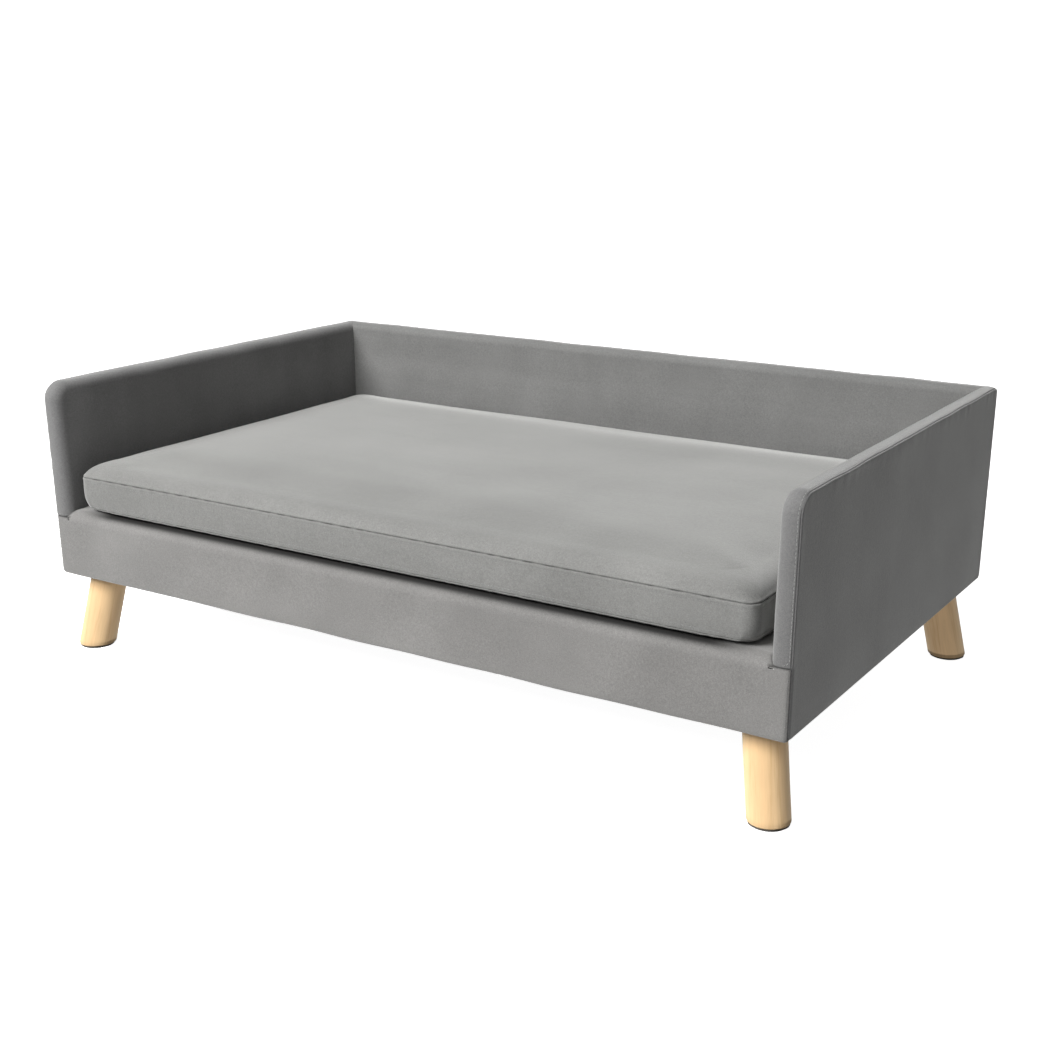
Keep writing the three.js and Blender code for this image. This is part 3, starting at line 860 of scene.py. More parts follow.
@dataclass
class Stitching:
    """A row of stitches that lies on a surface."""

    tree: BVHTree
    pitch: float = 0.0042
    length: float = 0.0030
    radius: float = 0.00026

    @classmethod
    def on(cls, points: np.ndarray, faces: np.ndarray, **sizes: float) -> "Stitching":
        """Make rows for a surface.

        Args:
            points: the surface's points.
            faces: its quads.
            **sizes: sizes that differ from the usual ones.

        Returns:
            The maker of rows.
        """
        return cls(BVHTree.FromPolygons([Vector(p) for p in points], faces.tolist()), **sizes)

    def row(self, path: np.ndarray) -> list[tuple[np.ndarray, list[list[int]]]]:
        """Lay stitches along a path.

        Args:
            path: points near the surface, in order.

        Returns:
            One small mesh for each stitch.
        """
        steps = np.linalg.norm(np.diff(path, axis=0), axis=1)
        run = np.concatenate([[0.0], np.cumsum(steps)])
        made = []
        for start in np.arange(0.5 * self.pitch, run[-1] - self.length, self.pitch):
            ends = [
                np.array([np.interp(start + share * self.length, run, path[:, k]) for k in range(3)])
                for share in (0.0, 0.5, 1.0)
            ]
            found = [self.tree.find_nearest(Vector(p)) for p in ends]
            if any(hit[0] is None for hit in found):
                continue
            made.append(self.stitch([np.array(hit[0]) for hit in found], np.array(found[1][1])))
        return made

    def stitch(self, on: list[np.ndarray], up: np.ndarray) -> tuple[np.ndarray, list[list[int]]]:
        """One stitch: a short round thread that dips in at both ends.

        Args:
            on: its two ends and middle on the surface.
            up: the surface's normal.

        Returns:
            The stitch's points and faces.
        """
        along = on[2] - on[0]
        along = along / max(np.linalg.norm(along), 1e-9)
        across = np.cross(along, up)
        across /= max(np.linalg.norm(across), 1e-9)
        rise = np.cross(across, along)
        points, sides = [], 6
        bulge = ((-0.04, 0.5, -0.5), (0.14, 1.0, 0.1), (0.5, 1.12, 0.55), (0.86, 1.0, 0.1), (1.04, 0.5, -0.5))
        for share, size, lift in bulge:
            spot = on[0] * (1 - share) + on[2] * share
            bow = on[1] - 0.5 * (on[0] + on[2])
            centre = spot + bow * (1 - abs(2 * share - 1)) + rise * lift * self.radius
            for k in range(sides):
                angle = 2 * math.pi * k / sides
                out = math.cos(angle) * across + math.sin(angle) * rise
                points.append(centre + self.radius * size * out)
        return np.array(points), capped_faces(len(bulge), sides)


# ---------------------------------------------------------------- upholstery


def wall_stations(width: float, soft: float) -> list[tuple[float, float]]:
    """Rings of an arm's or the back's cover: a swelling edge by the outer seam, then a soft roll.

    Args:
        width: the wall's thickness.
        soft: the radius of the roll.

    Returns:
        Each ring's inset and its distance from the outer face.
    """
    outer = (
        (3.7, 0.0), (3.0, 0.25), (2.6, 0.6), (2.3, 1.0), (2.05, 1.35), (1.85, 1.65), (1.65, 2.0), (1.4, 2.5),
        (1.15, 3.1), (0.95, 3.7), (0.75, 4.4), (0.52, 5.4), (0.32, 6.6), (0.16, 8.0), (0.05, 9.4),
    )
    made = [(inset * MM, w * MM) for inset, w in outer if w * MM < width - soft - 0.6 * MM]
    turn = np.radians([0, 10, 20, 30, 40, 50, 60, 70, 80, 90])
    return made + [(soft * (1 - math.cos(a)), width - soft + soft * math.sin(a)) for a in turn]


def roll_gap(depth: np.ndarray, radius: float) -> np.ndarray:
    """How far a rolled edge stands back at a depth below it."""
    short = np.clip(radius - depth, 0, radius)
    return radius - np.sqrt(np.maximum(radius**2 - short**2, 0))


def seam_relief(from_seam: np.ndarray) -> np.ndarray:
    """The groove of a wall's outer seam, and the ridges that the turned-in cloth makes beside it."""
    heights = ((-0.38, 0.0, 0.38), (0.12, -1.0, 0.6), (0.2, 1.0, 0.7), (-0.15, 2.1, 0.6))
    return sum(height * MM * fade(from_seam - at * MM, reach * MM) for height, at, reach in heights)


def gathered(
    along: np.ndarray, seed: int, waves: tuple[float, float], breadth: tuple[float, float]
) -> np.ndarray:
    """Small gathers along a seam, stronger in some places than in others.

    Args:
        along: the place along the seam.
        seed: which gathers.
        waves: the shortest and longest gather.
        breadth: the shortest and longest stretch of strong gathers.

    Returns:
        The gathers' height, with a spread of about one.
    """
    return ripple(along, seed, waves) * (0.6 + 0.4 * ripple(along, seed + 1, breadth))


def foam_wrap(outline: Outline, width: float, gap: float, roll: float) -> Shell:
    """The foam between a wall's board and its velvet, soft-edged as the velvet is.

    Args:
        outline: the foam's outline.
        width: the wall's thickness.
        gap: how far the foam lies inside the velvet.
        roll: the radius of the velvet's roll.

    Returns:
        The foam's shell.
    """
    sharp, soft, turn = 3.0 * MM, roll - gap, np.radians([0, 22, 45, 68, 90])
    stations = [(sharp * (1 - math.sin(a)), gap + sharp * (1 - math.cos(a))) for a in turn]
    stations += [(soft * (1 - math.cos(a)), width - gap - soft + soft * math.sin(a)) for a in turn]
    return Shell.stacked(outline, stations)


@dataclass
class Arm:
    """One arm: a thin upright board in velvet, soft on the inside and seamed on the outside."""

    side: Side
    velvet: bpy.types.Material
    thread: bpy.types.Material
    wadding: bpy.types.Material
    # How much lighter the inner face is near its front and back ends: painted light.
    inner_end_painted_light: float = 0.17
    front_radius: float = 24 * MM
    back_radius: float = 7 * MM
    bottom_radius: float = 8 * MM
    soft_roll: float = 12.0 * MM
    seam_line: float = 1.65 * MM
    stitch_line: float = 3.0 * MM
    base_top: float = 174.7 * MM
    base_roll: float = 6.3 * MM
    behind_base: float = 0.3 * MM
    lean: float = 1.0 * MM
    wadding_gap: float = 1.9 * MM

    def __post_init__(self) -> None:
        """Take the place from the model."""
        low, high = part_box("side_cover_right")
        self.inner, self.outer = low.x, high.x
        self.front, self.back = low.y, high.y
        self.bottom, self.top = low.z, high.z
        self.seed = 11 if self.side is Side.LEFT else 23

    def outline(self) -> Outline:
        """The arm from the side, Y along u and Z along v, with rows crowded at the seam above the base."""
        start, end = self.bottom + self.bottom_radius, self.top - self.front_radius
        rows = start + (end - start) * graded(58, 0.35)
        extra = self.base_top + np.array([-2.4, -1.2, -0.5, 0.1, 0.7, 1.3, 2.2, 3.4]) * MM
        rows = np.sort(np.concatenate([rows[np.abs(rows - self.base_top) > 3.6 * MM], extra]))
        return Outline(
            (self.front, self.bottom), (self.back, self.top),
            (self.bottom_radius, self.bottom_radius, self.back_radius, self.front_radius),
            graded(220, 0.4), (rows - start) / (end - start), 6,
        )

    def shaped(self) -> tuple[np.ndarray, np.ndarray, dict[str, np.ndarray]]:
        """Build the cover as a right arm.

        Returns:
            Points, quads, and the marks that the velvet reads.
        """
        shell = Shell.stacked(self.outline(), wall_stations(self.outer - self.inner, self.soft_roll))
        flat = shell.points()
        y, z, w = flat.T
        points = np.stack([self.outer - w, y, z], 1)
        faces = turned_out(points, shell.faces())
        normal = normals_of(points, faces)
        on_rim = shell.by_ring(np.ones(shell.size[0]), 0.0) > 0

        width = self.outer - self.inner
        top_gap, front_gap = self.top - z, y - self.front
        edge = np.minimum(np.minimum(top_gap, front_gap), self.back - y)
        on_face = ease(edge, 1 * MM, 14 * MM)
        on_outer = ease(w, width * 0.5, 0.0)
        above = ease(z, self.base_top, self.base_top + 30 * MM)
        swell = 0.3 * MM * ripple(points, self.seed, (0.07, 0.24)) * on_face
        gathers = gathered(y, self.seed + 1, (0.013, 0.042), (0.08, 0.2))
        by_top = fade(top_gap - 6 * MM, 9 * MM) * on_outer * ease(top_gap, 0.5 * MM, 4 * MM)
        swell += 0.12 * MM * gathers * by_top
        tugs = ripple(z, self.seed + 3, (0.012, 0.035))
        swell += 0.07 * MM * tugs * fade(front_gap - 5 * MM, 7 * MM) * on_outer * above
        from_seam = np.where(on_rim & (edge < 4.5 * MM), w - self.seam_line, 1.0)
        swell += seam_relief(from_seam)
        points = points + normal * (swell * ease(z, self.bottom + 1 * MM, self.bottom + 10 * MM))[:, None]

        wave = 0.35 * MM * ripple(y, self.seed + 4, (0.06, 0.19)) * fade(top_gap, 5 * MM)
        points[:, 0] += wave * on_outer
        points[:, 2] += 0.16 * MM * ripple(y, self.seed + 5, (0.07, 0.2)) * fade(top_gap, 8 * MM)
        rise = ease(z, self.base_top, self.top)
        points[:, 0] += self.lean * rise * (1 - ease(y, self.front, self.back))

        at_front = ease(front_gap, 22 * MM, 8 * MM)
        under = ease(z, self.base_top + 1.5 * MM, self.base_top - 0.2 * MM)
        tucked = ease(w, 1.8 * MM, 2.8 * MM)
        rolled = roll_gap(w, self.base_roll) + self.behind_base * (1 + 3 * tucked)
        own = np.interp(w, *np.array(wall_stations(width, self.soft_roll)[:15]).T[::-1])
        points[:, 1] += np.maximum(rolled - own, 0.0) * at_front * under

        seam = 0.45 * fade(from_seam, 0.4 * MM)
        seam = np.maximum(seam, 0.7 * at_front * fade(z - self.base_top - 0.2 * MM, 1.0 * MM) * tucked)
        pile_tone_and_painted_light = 0.03 * ripple(points, self.seed + 6, (0.05, 0.16)) * on_face
        # Painted light and shade on the pile: lighter on the gathers' crests and darker in their hollows, the
        # outer face darker towards the back, the inner face lighter near both ends, and a painted highlight
        # on the ridge beside the outer seam.
        pile_tone_and_painted_light += 0.04 * gathers * fade(top_gap - 6 * MM, 12 * MM) * on_outer
        pile_tone_and_painted_light -= 0.11 * on_outer * ease(y, self.front, self.back)
        ends = fade(front_gap, 60 * MM) + 0.7 * fade(self.back - y, 110 * MM)
        pile_tone_and_painted_light += self.inner_end_painted_light * ends * ease(w, width - 2 * MM, width)
        pile_tone_and_painted_light += 0.05 * fade(from_seam - 1.0 * MM, 0.7 * MM)
        return points, faces, {"pile_tone_and_painted_light": pile_tone_and_painted_light, "seam": np.clip(seam, 0, 1)}

    def seam_path(self) -> np.ndarray:
        """The topstitching's line: along the foot of the front, up it, back along the top and down."""
        loop = self.outline().loop(1.0 * MM)
        bearing = np.degrees(np.arctan2(loop[:, 1] - 0.5 * (self.top + self.base_top), loop[:, 0]))
        walk = loop[np.argsort((bearing - 195.0) % 360.0)[::-1]]
        walk = walk[(walk[:, 1] > self.base_top + 10 * MM) | (walk[:, 0] > 0)]
        from_foot = np.hypot(walk[:, 0] - self.front, walk[:, 1] - self.base_top)
        walk = np.roll(walk, -int(np.argmin(from_foot)), axis=0)
        walk = walk[walk[:, 1] > self.bottom + 12 * MM]
        breaks = np.nonzero(np.linalg.norm(np.diff(walk, axis=0), axis=1) > 40 * MM)[0]
        walk = walk[: breaks[0] + 1] if len(breaks) else walk
        x = self.outer - self.stitch_line
        over = np.stack([np.full(len(walk), x), walk[:, 0], walk[:, 1]], 1)
        turn, r = np.radians(np.linspace(90, 0, 7)), 7 * MM
        foot = self.base_top + 2.8 * MM
        corner = np.stack([x - r + r * np.sin(turn), np.full(7, self.front), foot + r - r * np.cos(turn)], 1)
        along = np.linspace(self.inner + self.soft_roll, x - r - 1 * MM, 4)
        level = np.stack([along, np.full(4, self.front), np.full(4, foot)], 1)
        return np.concatenate([level, corner[::-1], over])

    def build(self) -> None:
        """Make the cover and its stitches."""
        points, faces, marks = self.shaped()
        rows = Stitching.on(points, faces)
        stitches = joined(rows.row(self.seam_path()))
        if self.side is Side.LEFT:
            mirror = np.array([-1.0, 1.0, 1.0])
            points, faces = points * mirror, faces[:, ::-1]
            stitches = (stitches[0] * mirror, [polygon[::-1] for polygon in stitches[1]])
        word = self.side.name.lower()
        cover = piece(f"arm_cover_{word}", points, faces, self.velvet, Body.FRAME, Slot.VELVET, marks)
        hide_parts(f"side_cover_{word}")
        piece(f"arm_topstitch_{word}", *stitches, self.thread, Body.FRAME, Slot.VELVET)
        self.build_wadding(word)

    def build_wadding(self, word: str) -> None:
        """Make the foam wrap between the board and the velvet, soft-edged as the cover is."""
        gap, width = self.wadding_gap, self.outer - self.inner
        radii = (self.bottom_radius, self.bottom_radius, self.back_radius, self.front_radius)
        outline = Outline(
            (self.front + gap, self.bottom + gap), (self.back - gap, self.top - gap),
            tuple(radius - gap for radius in radii), graded(60, 0.2), graded(26, 0.2), 3,
        )
        shell = foam_wrap(outline, width, gap, self.soft_roll)
        y, z, w = shell.points().T
        rise = self.lean * ease(z, self.base_top, self.top) * (1 - ease(y, self.front, self.back))
        points = np.stack([self.side.value * (self.outer - w + rise), y, z], 1)
        faces = turned_out(points, shell.faces())
        wrap = piece(f"arm_foam_wrap_{word}", points, faces, self.wadding, Body.FRAME, Slot.WADDING)
        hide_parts(f"side_wadding_{word}")


@dataclass
class Back:
    """The back: an upright board in velvet between the arms."""

    velvet: bpy.types.Material
    thread: bpy.types.Material
    wadding: bpy.types.Material
    wadding_gap: float = 1.9 * MM
    soft_roll: float = 10.0 * MM
    run_on: float = 12.0 * MM
    seam_line: float = 1.65 * MM
    end_radius: float = 1.5 * MM
    end_gap: float = 0.3 * MM
    seed: int = 37

    def __post_init__(self) -> None:
        """Take the place from the model."""
        low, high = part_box("back_cover")
        self.left, self.right = low.x, high.x
        self.inner, self.outer = low.y, high.y
        self.bottom, self.top = low.z, high.z

    def build(self) -> None:
        """Make the cover and its stitches."""
        outline = Outline(
            (self.left - self.run_on, self.bottom), (self.right + self.run_on, self.top),
            (self.end_radius,) * 4, graded(300, 0.35), graded(64, 0.5), 3, least=1 * MM,
        )
        shell = Shell.stacked(outline, wall_stations(self.outer - self.inner, self.soft_roll))
        x, z, w = shell.points().T
        points = np.stack([x, self.outer - w, z], 1)
        faces = turned_out(points, shell.faces())
        normal = normals_of(points, faces)
        on_rim = shell.by_ring(np.ones(shell.size[0]), 0.0) > 0
        width = self.outer - self.inner
        top_gap = self.top - z
        edge = np.minimum(top_gap, self.right - np.abs(x))
        on_face = ease(edge, 1 * MM, 16 * MM)
        on_outer = ease(w, width * 0.5, 0.0)
        swell = 0.32 * MM * ripple(points, self.seed, (0.08, 0.26)) * on_face
        gathers = gathered(x, self.seed + 1, (0.014, 0.045), (0.09, 0.2))
        by_top = fade(top_gap - 6 * MM, 9 * MM) * on_outer * ease(top_gap, 0.5 * MM, 4 * MM)
        swell += 0.12 * MM * gathers * by_top
        swell += 0.06 * MM * gathers * fade(top_gap - 9 * MM, 9 * MM) * (1 - on_outer)
        from_seam = np.where(on_rim & (top_gap < 4.5 * MM), w - self.seam_line, 1.0)
        swell += seam_relief(from_seam)
        points = points + normal * (swell * ease(z, self.bottom + 1 * MM, self.bottom + 10 * MM))[:, None]
        points[:, 2] += 0.16 * MM * ripple(x, self.seed + 5, (0.08, 0.22)) * fade(top_gap, 8 * MM)
        seam = 0.45 * fade(from_seam, 0.4 * MM)
        pile_tone_and_painted_light = 0.03 * ripple(points, self.seed + 6, (0.06, 0.2)) * on_face
        marks = {"pile_tone_and_painted_light": pile_tone_and_painted_light, "seam": seam}
        cover = piece("back_panel_cover", points, faces, self.velvet, Body.FRAME, Slot.VELVET, marks)
        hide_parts("back_cover")
        rows = Stitching.on(points, faces)
        line = np.linspace(self.left + 2 * MM, self.right - 2 * MM, 60)
        above = np.stack([line, np.full(60, self.outer - 3.7 * MM), np.full(60, self.top - 1 * MM)], 1)
        stitches = joined(rows.row(above))
        piece("back_topstitch", *stitches, self.thread, Body.FRAME, Slot.VELVET)
        self.build_wadding()

    def build_wadding(self) -> None:
        """Make the foam wrap between the board and the velvet."""
        gap, width = self.wadding_gap, self.outer - self.inner
        outline = Outline(
            (self.left + self.end_gap, self.bottom + gap), (self.right - self.end_gap, self.top - gap),
            (self.end_radius,) * 4, graded(96, 0.2), graded(26, 0.2), 3, least=1 * MM,
        )
        shell = foam_wrap(outline, width, gap, self.soft_roll)
        x, z, w = shell.points().T
        points = np.stack([x, self.outer - w, z], 1)
        faces = turned_out(points, shell.faces())
        wrap = piece("back_foam_wrap", points, faces, self.wadding, Body.FRAME, Slot.WADDING)
        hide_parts("back_wadding")


@dataclass
class Base:
    """The velvet over the front rail, rolled softly over its top edge and laid back across the deck."""

    velvet: bpy.types.Material
    thread: bpy.types.Material
    foam: bpy.types.Material
    edge_radius: float = 15 * MM
    bottom_radius: float = 4.5 * MM
    end_roll: float = 6.3 * MM
    arm_roll: float = 12.0 * MM
    arm_seam: float = 174.7 * MM
    arm_inner: float = 475.7 * MM
    tuck_radius: float = 1.2 * MM
    seed: int = 51

    def __post_init__(self) -> None:
        """Take the place from the model."""
        low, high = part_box("base_cover")
        self.half = high.x
        self.side_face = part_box("side_cover_right")[1].x
        self.front, self.back = low.y, high.y
        self.bottom, self.deck = low.z, high.z

    def shared_rows(self) -> np.ndarray:
        """The profile, in Y and Z, of the bed's whole width: under the rail and up its face."""
        r = self.bottom_radius
        hem = ((9.5, 1.0), (7.2, 0.1))
        rows = [(self.front + y * MM, self.bottom + z * MM) for y, z in hem]
        for a in np.radians([270, 250, 230, 210, 195, 180]):
            rows.append((self.front + r + r * math.cos(a), self.bottom + r + r * math.sin(a)))
        for z in np.linspace(self.bottom + r, self.deck - self.edge_radius - 3 * MM, 22)[1:]:
            rows.append((self.front, z))
        return np.array(rows)

    def middle_rows(self) -> np.ndarray:
        """The profile between the arms: over the soft edge and back across the deck."""
        r = self.edge_radius
        rows = [(self.front, self.deck - r)]
        for a in np.radians(np.linspace(180, 90, 13)[1:]):
            rows.append((self.front + r + r * math.cos(a), self.deck - r + r * math.sin(a)))
        run = self.front + r + (self.back - self.front - r) * np.linspace(0, 1, 84)[1:] ** 1.35
        return np.array(rows + [(y, self.deck) for y in run])

    def end_rows(self) -> np.ndarray:
        """The profile in front of an arm: straight up, then tucked in at the seam."""
        r = self.tuck_radius
        top = self.arm_seam - r
        rows = [(self.front, z) for z in np.linspace(self.deck - self.edge_radius - 1 * MM, top, 5)]
        for a in np.radians([25, 50, 75, 90]):
            rows.append((self.front + r * (1 - math.cos(a)), top + r * math.sin(a)))
        return np.array(rows + [(self.front + 3.0 * MM, self.arm_seam - 0.2 * MM)])

    def columns(self) -> tuple[np.ndarray, int]:
        """X of each column, and how many lie outside each arm's inner face."""
        end = [498.2, 498.05, 497.6, 496.9, 496.0, 494.6, 492.4, 489.0, 485.0, 481.0, 477.6, 476.4]
        end = np.array(end) * MM
        near = self.arm_inner - np.array([0.0, 0.8, 1.8, 3.0, 4.6, 6.6, 9.2, 12.4, 16.0]) * MM
        middle = np.linspace(-near[-1], near[-1], 236)[1:-1]
        return np.concatenate([-end, -near, middle, near[::-1], end[::-1]]), len(end)

    def build(self) -> None:
        """Make the cover and its stitches."""
        x, outside = self.columns()
        shared, middle, end = self.shared_rows(), self.middle_rows(), self.end_rows()
        count = len(x)
        inside = np.arange(outside, count - outside)
        wings = (np.arange(outside + 1), np.arange(count - outside - 1, count))
        points = [np.stack([x, np.full(count, y), np.full(count, z)], 1) for y, z in shared]
        grids = [np.arange(len(shared) * count).reshape(len(shared), count)]
        start = len(shared) * count
        for profile, columns in ((middle, inside), (end, wings[0]), (end, wings[1])):
            rows = [grids[0][-1, columns]]
            for y, z in profile:
                points.append(np.stack([x[columns], np.full(len(columns), y), np.full(len(columns), z)], 1))
                rows.append(np.arange(start, start + len(columns)))
                start += len(columns)
            grids.append(np.stack(rows))
        points = np.concatenate(points)
        faces = np.concatenate([grid_faces(grid) for grid in grids])
        points = self.softened(points)
        normal = normals_of(points, faces)
        if normal[grids[0][len(shared) // 2, count // 2], 1] > 0:
            faces, normal = faces[:, ::-1], -normal
        marks = self.marks(points)
        cover = piece("base_panel_cover", points, faces, self.velvet, Body.FRAME, Slot.VELVET, marks)
        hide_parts("base_cover")
        rows = Stitching.on(points, faces)
        path = np.zeros((30, 3))
        path[:, 1] = self.front + 1 * MM
        path[:, 2] = np.linspace(self.bottom + 6 * MM, self.arm_seam - 3 * MM, 30)
        made = []
        for sign in (-1, 1):
            path[:, 0] = sign * (self.half - 2.2 * MM)
            made += rows.row(path)
        piece("base_topstitch", *joined(made), self.thread, Body.FRAME, Slot.VELVET)
        self.build_foam()

    def build_foam(self) -> None:
        """Make the foam sheet under the deck's velvet, rounded at its edge and cut shy of the arms."""
        low, high = corners("deck_foam")
        shy, drop, r = 8 * MM, 0.9 * MM, 9 * MM
        outline = Outline(
            (low[0] + shy, low[1] + 1.4 * MM), (high[0] - shy, high[1] - 1 * MM), (12 * MM,) * 4,
            graded(60, 0.1), graded(36, 0.1), 3,
        )
        top = high[2] - drop
        stations = [(0.6 * MM, low[2]), (0.0, low[2] + 0.8 * MM)]
        turn = np.radians([4, 25, 45, 65, 90])
        stations += [(r * (1 - math.cos(a)), top - r + r * math.sin(a)) for a in turn]
        shell = Shell.stacked(outline, stations)
        points = shell.points()
        faces = turned_out(points, shell.faces())
        foam = piece("deck_foam_sheet", points, faces, self.foam, Body.FRAME, Slot.FOAM)
        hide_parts("deck_foam")

    def softened(self, points: np.ndarray) -> np.ndarray:
        """Shape the flat cover: rolled ends, a dip beside each arm, slack cloth and a slightly wavy hem.

        Args:
            points: the cover's points.

        Returns:
            The moved points.
        """
        x, y, z = points.T.copy()
        on_front = ease(y, self.front + 4 * MM, self.front + 0.5 * MM)
        y = y + roll_gap(self.side_face - np.abs(x), self.end_roll) * on_front
        reach = self.arm_inner - np.abs(x)
        between = reach >= -1e-6
        level = ease(z, self.deck - self.edge_radius - 2 * MM, self.deck - 5 * MM)
        front_part = ease(y, self.front + 70 * MM, self.front + 20 * MM)
        dip = np.where(between, np.exp(-np.clip(reach, 0, None) / (13 * MM)), 0.0)
        followed = np.sign(x) * (roll_gap(y - self.front, self.arm_roll) + 1.2 * MM)
        followed = followed * ease(reach, 16 * MM, 0.0) * ease(z, 171.0 * MM, 174.0 * MM)
        x = x + np.where(between & self.over_rail(points), followed, 0.0)
        z = z - (0.8 * MM + 1.4 * MM * front_part) * dip * level
        places = np.stack([x, y, z], 1)
        slack = ripple(places, self.seed, (0.09, 0.3))
        span = ease(self.half - np.abs(x), 2 * MM, 30 * MM)
        on_face = ease(z, self.bottom, self.bottom + 12 * MM) * on_front
        y = y - 0.45 * MM * slack * on_face * span
        deck = ease(y, self.front + 12 * MM, self.front + 40 * MM)
        z = z + 0.5 * MM * ripple(places, self.seed + 1, (0.07, 0.22)) * deck * ease(reach, 2 * MM, 30 * MM)
        fold = fade(reach - 7 * MM, 5 * MM) * fade(z - (self.deck - 8 * MM), 5 * MM) * between
        y = y - 0.5 * MM * fold
        z = z + 0.3 * MM * ripple(x, self.seed + 2, (0.12, 0.35)) * ease(z, self.bottom + 6 * MM, self.bottom)
        z = z + roll_gap(self.side_face - np.abs(x), 6 * MM) * ease(z, self.bottom + 9 * MM, self.bottom)
        return np.stack([x, y, z], 1)

    def over_rail(self, points: np.ndarray) -> np.ndarray:
        """Which points lie on the soft roll or the deck, and not on the flat front."""
        return (points[:, 1] > self.front + 0.01 * MM) & (points[:, 2] > self.deck - self.edge_radius)

    def marks(self, points: np.ndarray) -> dict[str, np.ndarray]:
        """How the pile lies and how deep in a seam each point is, with painted shade in the crease beside
        each arm, in the slot under the cushion's front and over the deck under the cushion.

        Args:
            points: the cover's points.

        Returns:
            The marks that the velvet reads.
        """
        x, y, z = points.T
        # Painted shade: a dark crease line on the cover's roll and deck beside each arm's inner face.
        reach = np.abs(self.arm_inner + roll_gap(y - self.front, self.arm_roll) - np.abs(x))
        crease_and_slot_painted_shade = 0.8 * fade(reach, 2.2 * MM) * ease(z, self.arm_seam - 0.3 * MM, self.arm_seam + 0.8 * MM)
        corner = 0.3 * ease(np.abs(x), self.half - 0.9 * MM, self.half)
        # Painted shade on the deck: darkest in the slot just behind the front edge under the cushion's front,
        # fading to a lighter band further back, and kept away from the arms.
        shade = ease(y, self.front + 1.5 * MM, self.front + 9 * MM)
        shade *= ease(self.arm_inner - np.abs(x), 14 * MM, 70 * MM)
        shade *= 0.22 + 0.78 * ease(y, self.front + 42 * MM, self.front + 18 * MM)
        crease_and_slot_painted_shade = np.maximum(crease_and_slot_painted_shade, 1.4 * shade)
        ledge = fade(z - self.arm_seam, 0.9 * MM) * (np.abs(x) > self.arm_inner)
        pile_tone_and_painted_light = 0.025 * ripple(points, self.seed + 4, (0.05, 0.2))
        # Painted shade: the deck a little darker under the cushion, from just behind the front edge back,
        # away from the arms.
        painted_shade_under_cushion = ease(y, self.front + 3 * MM, self.front + 16 * MM) * (np.abs(x) < self.arm_inner - 16 * MM)
        pile_tone_and_painted_light -= 0.06 * painted_shade_under_cushion
        # Besides the corner seam and the line at each arm's foot, this mark carries the painted shade of the
        # crease and the slot.
        seam = np.maximum(np.maximum(0.7 * crease_and_slot_painted_shade, 0.8 * corner), 0.75 * ledge)
        return {"pile_tone_and_painted_light": pile_tone_and_painted_light, "seam": np.clip(seam, 0, 1)}


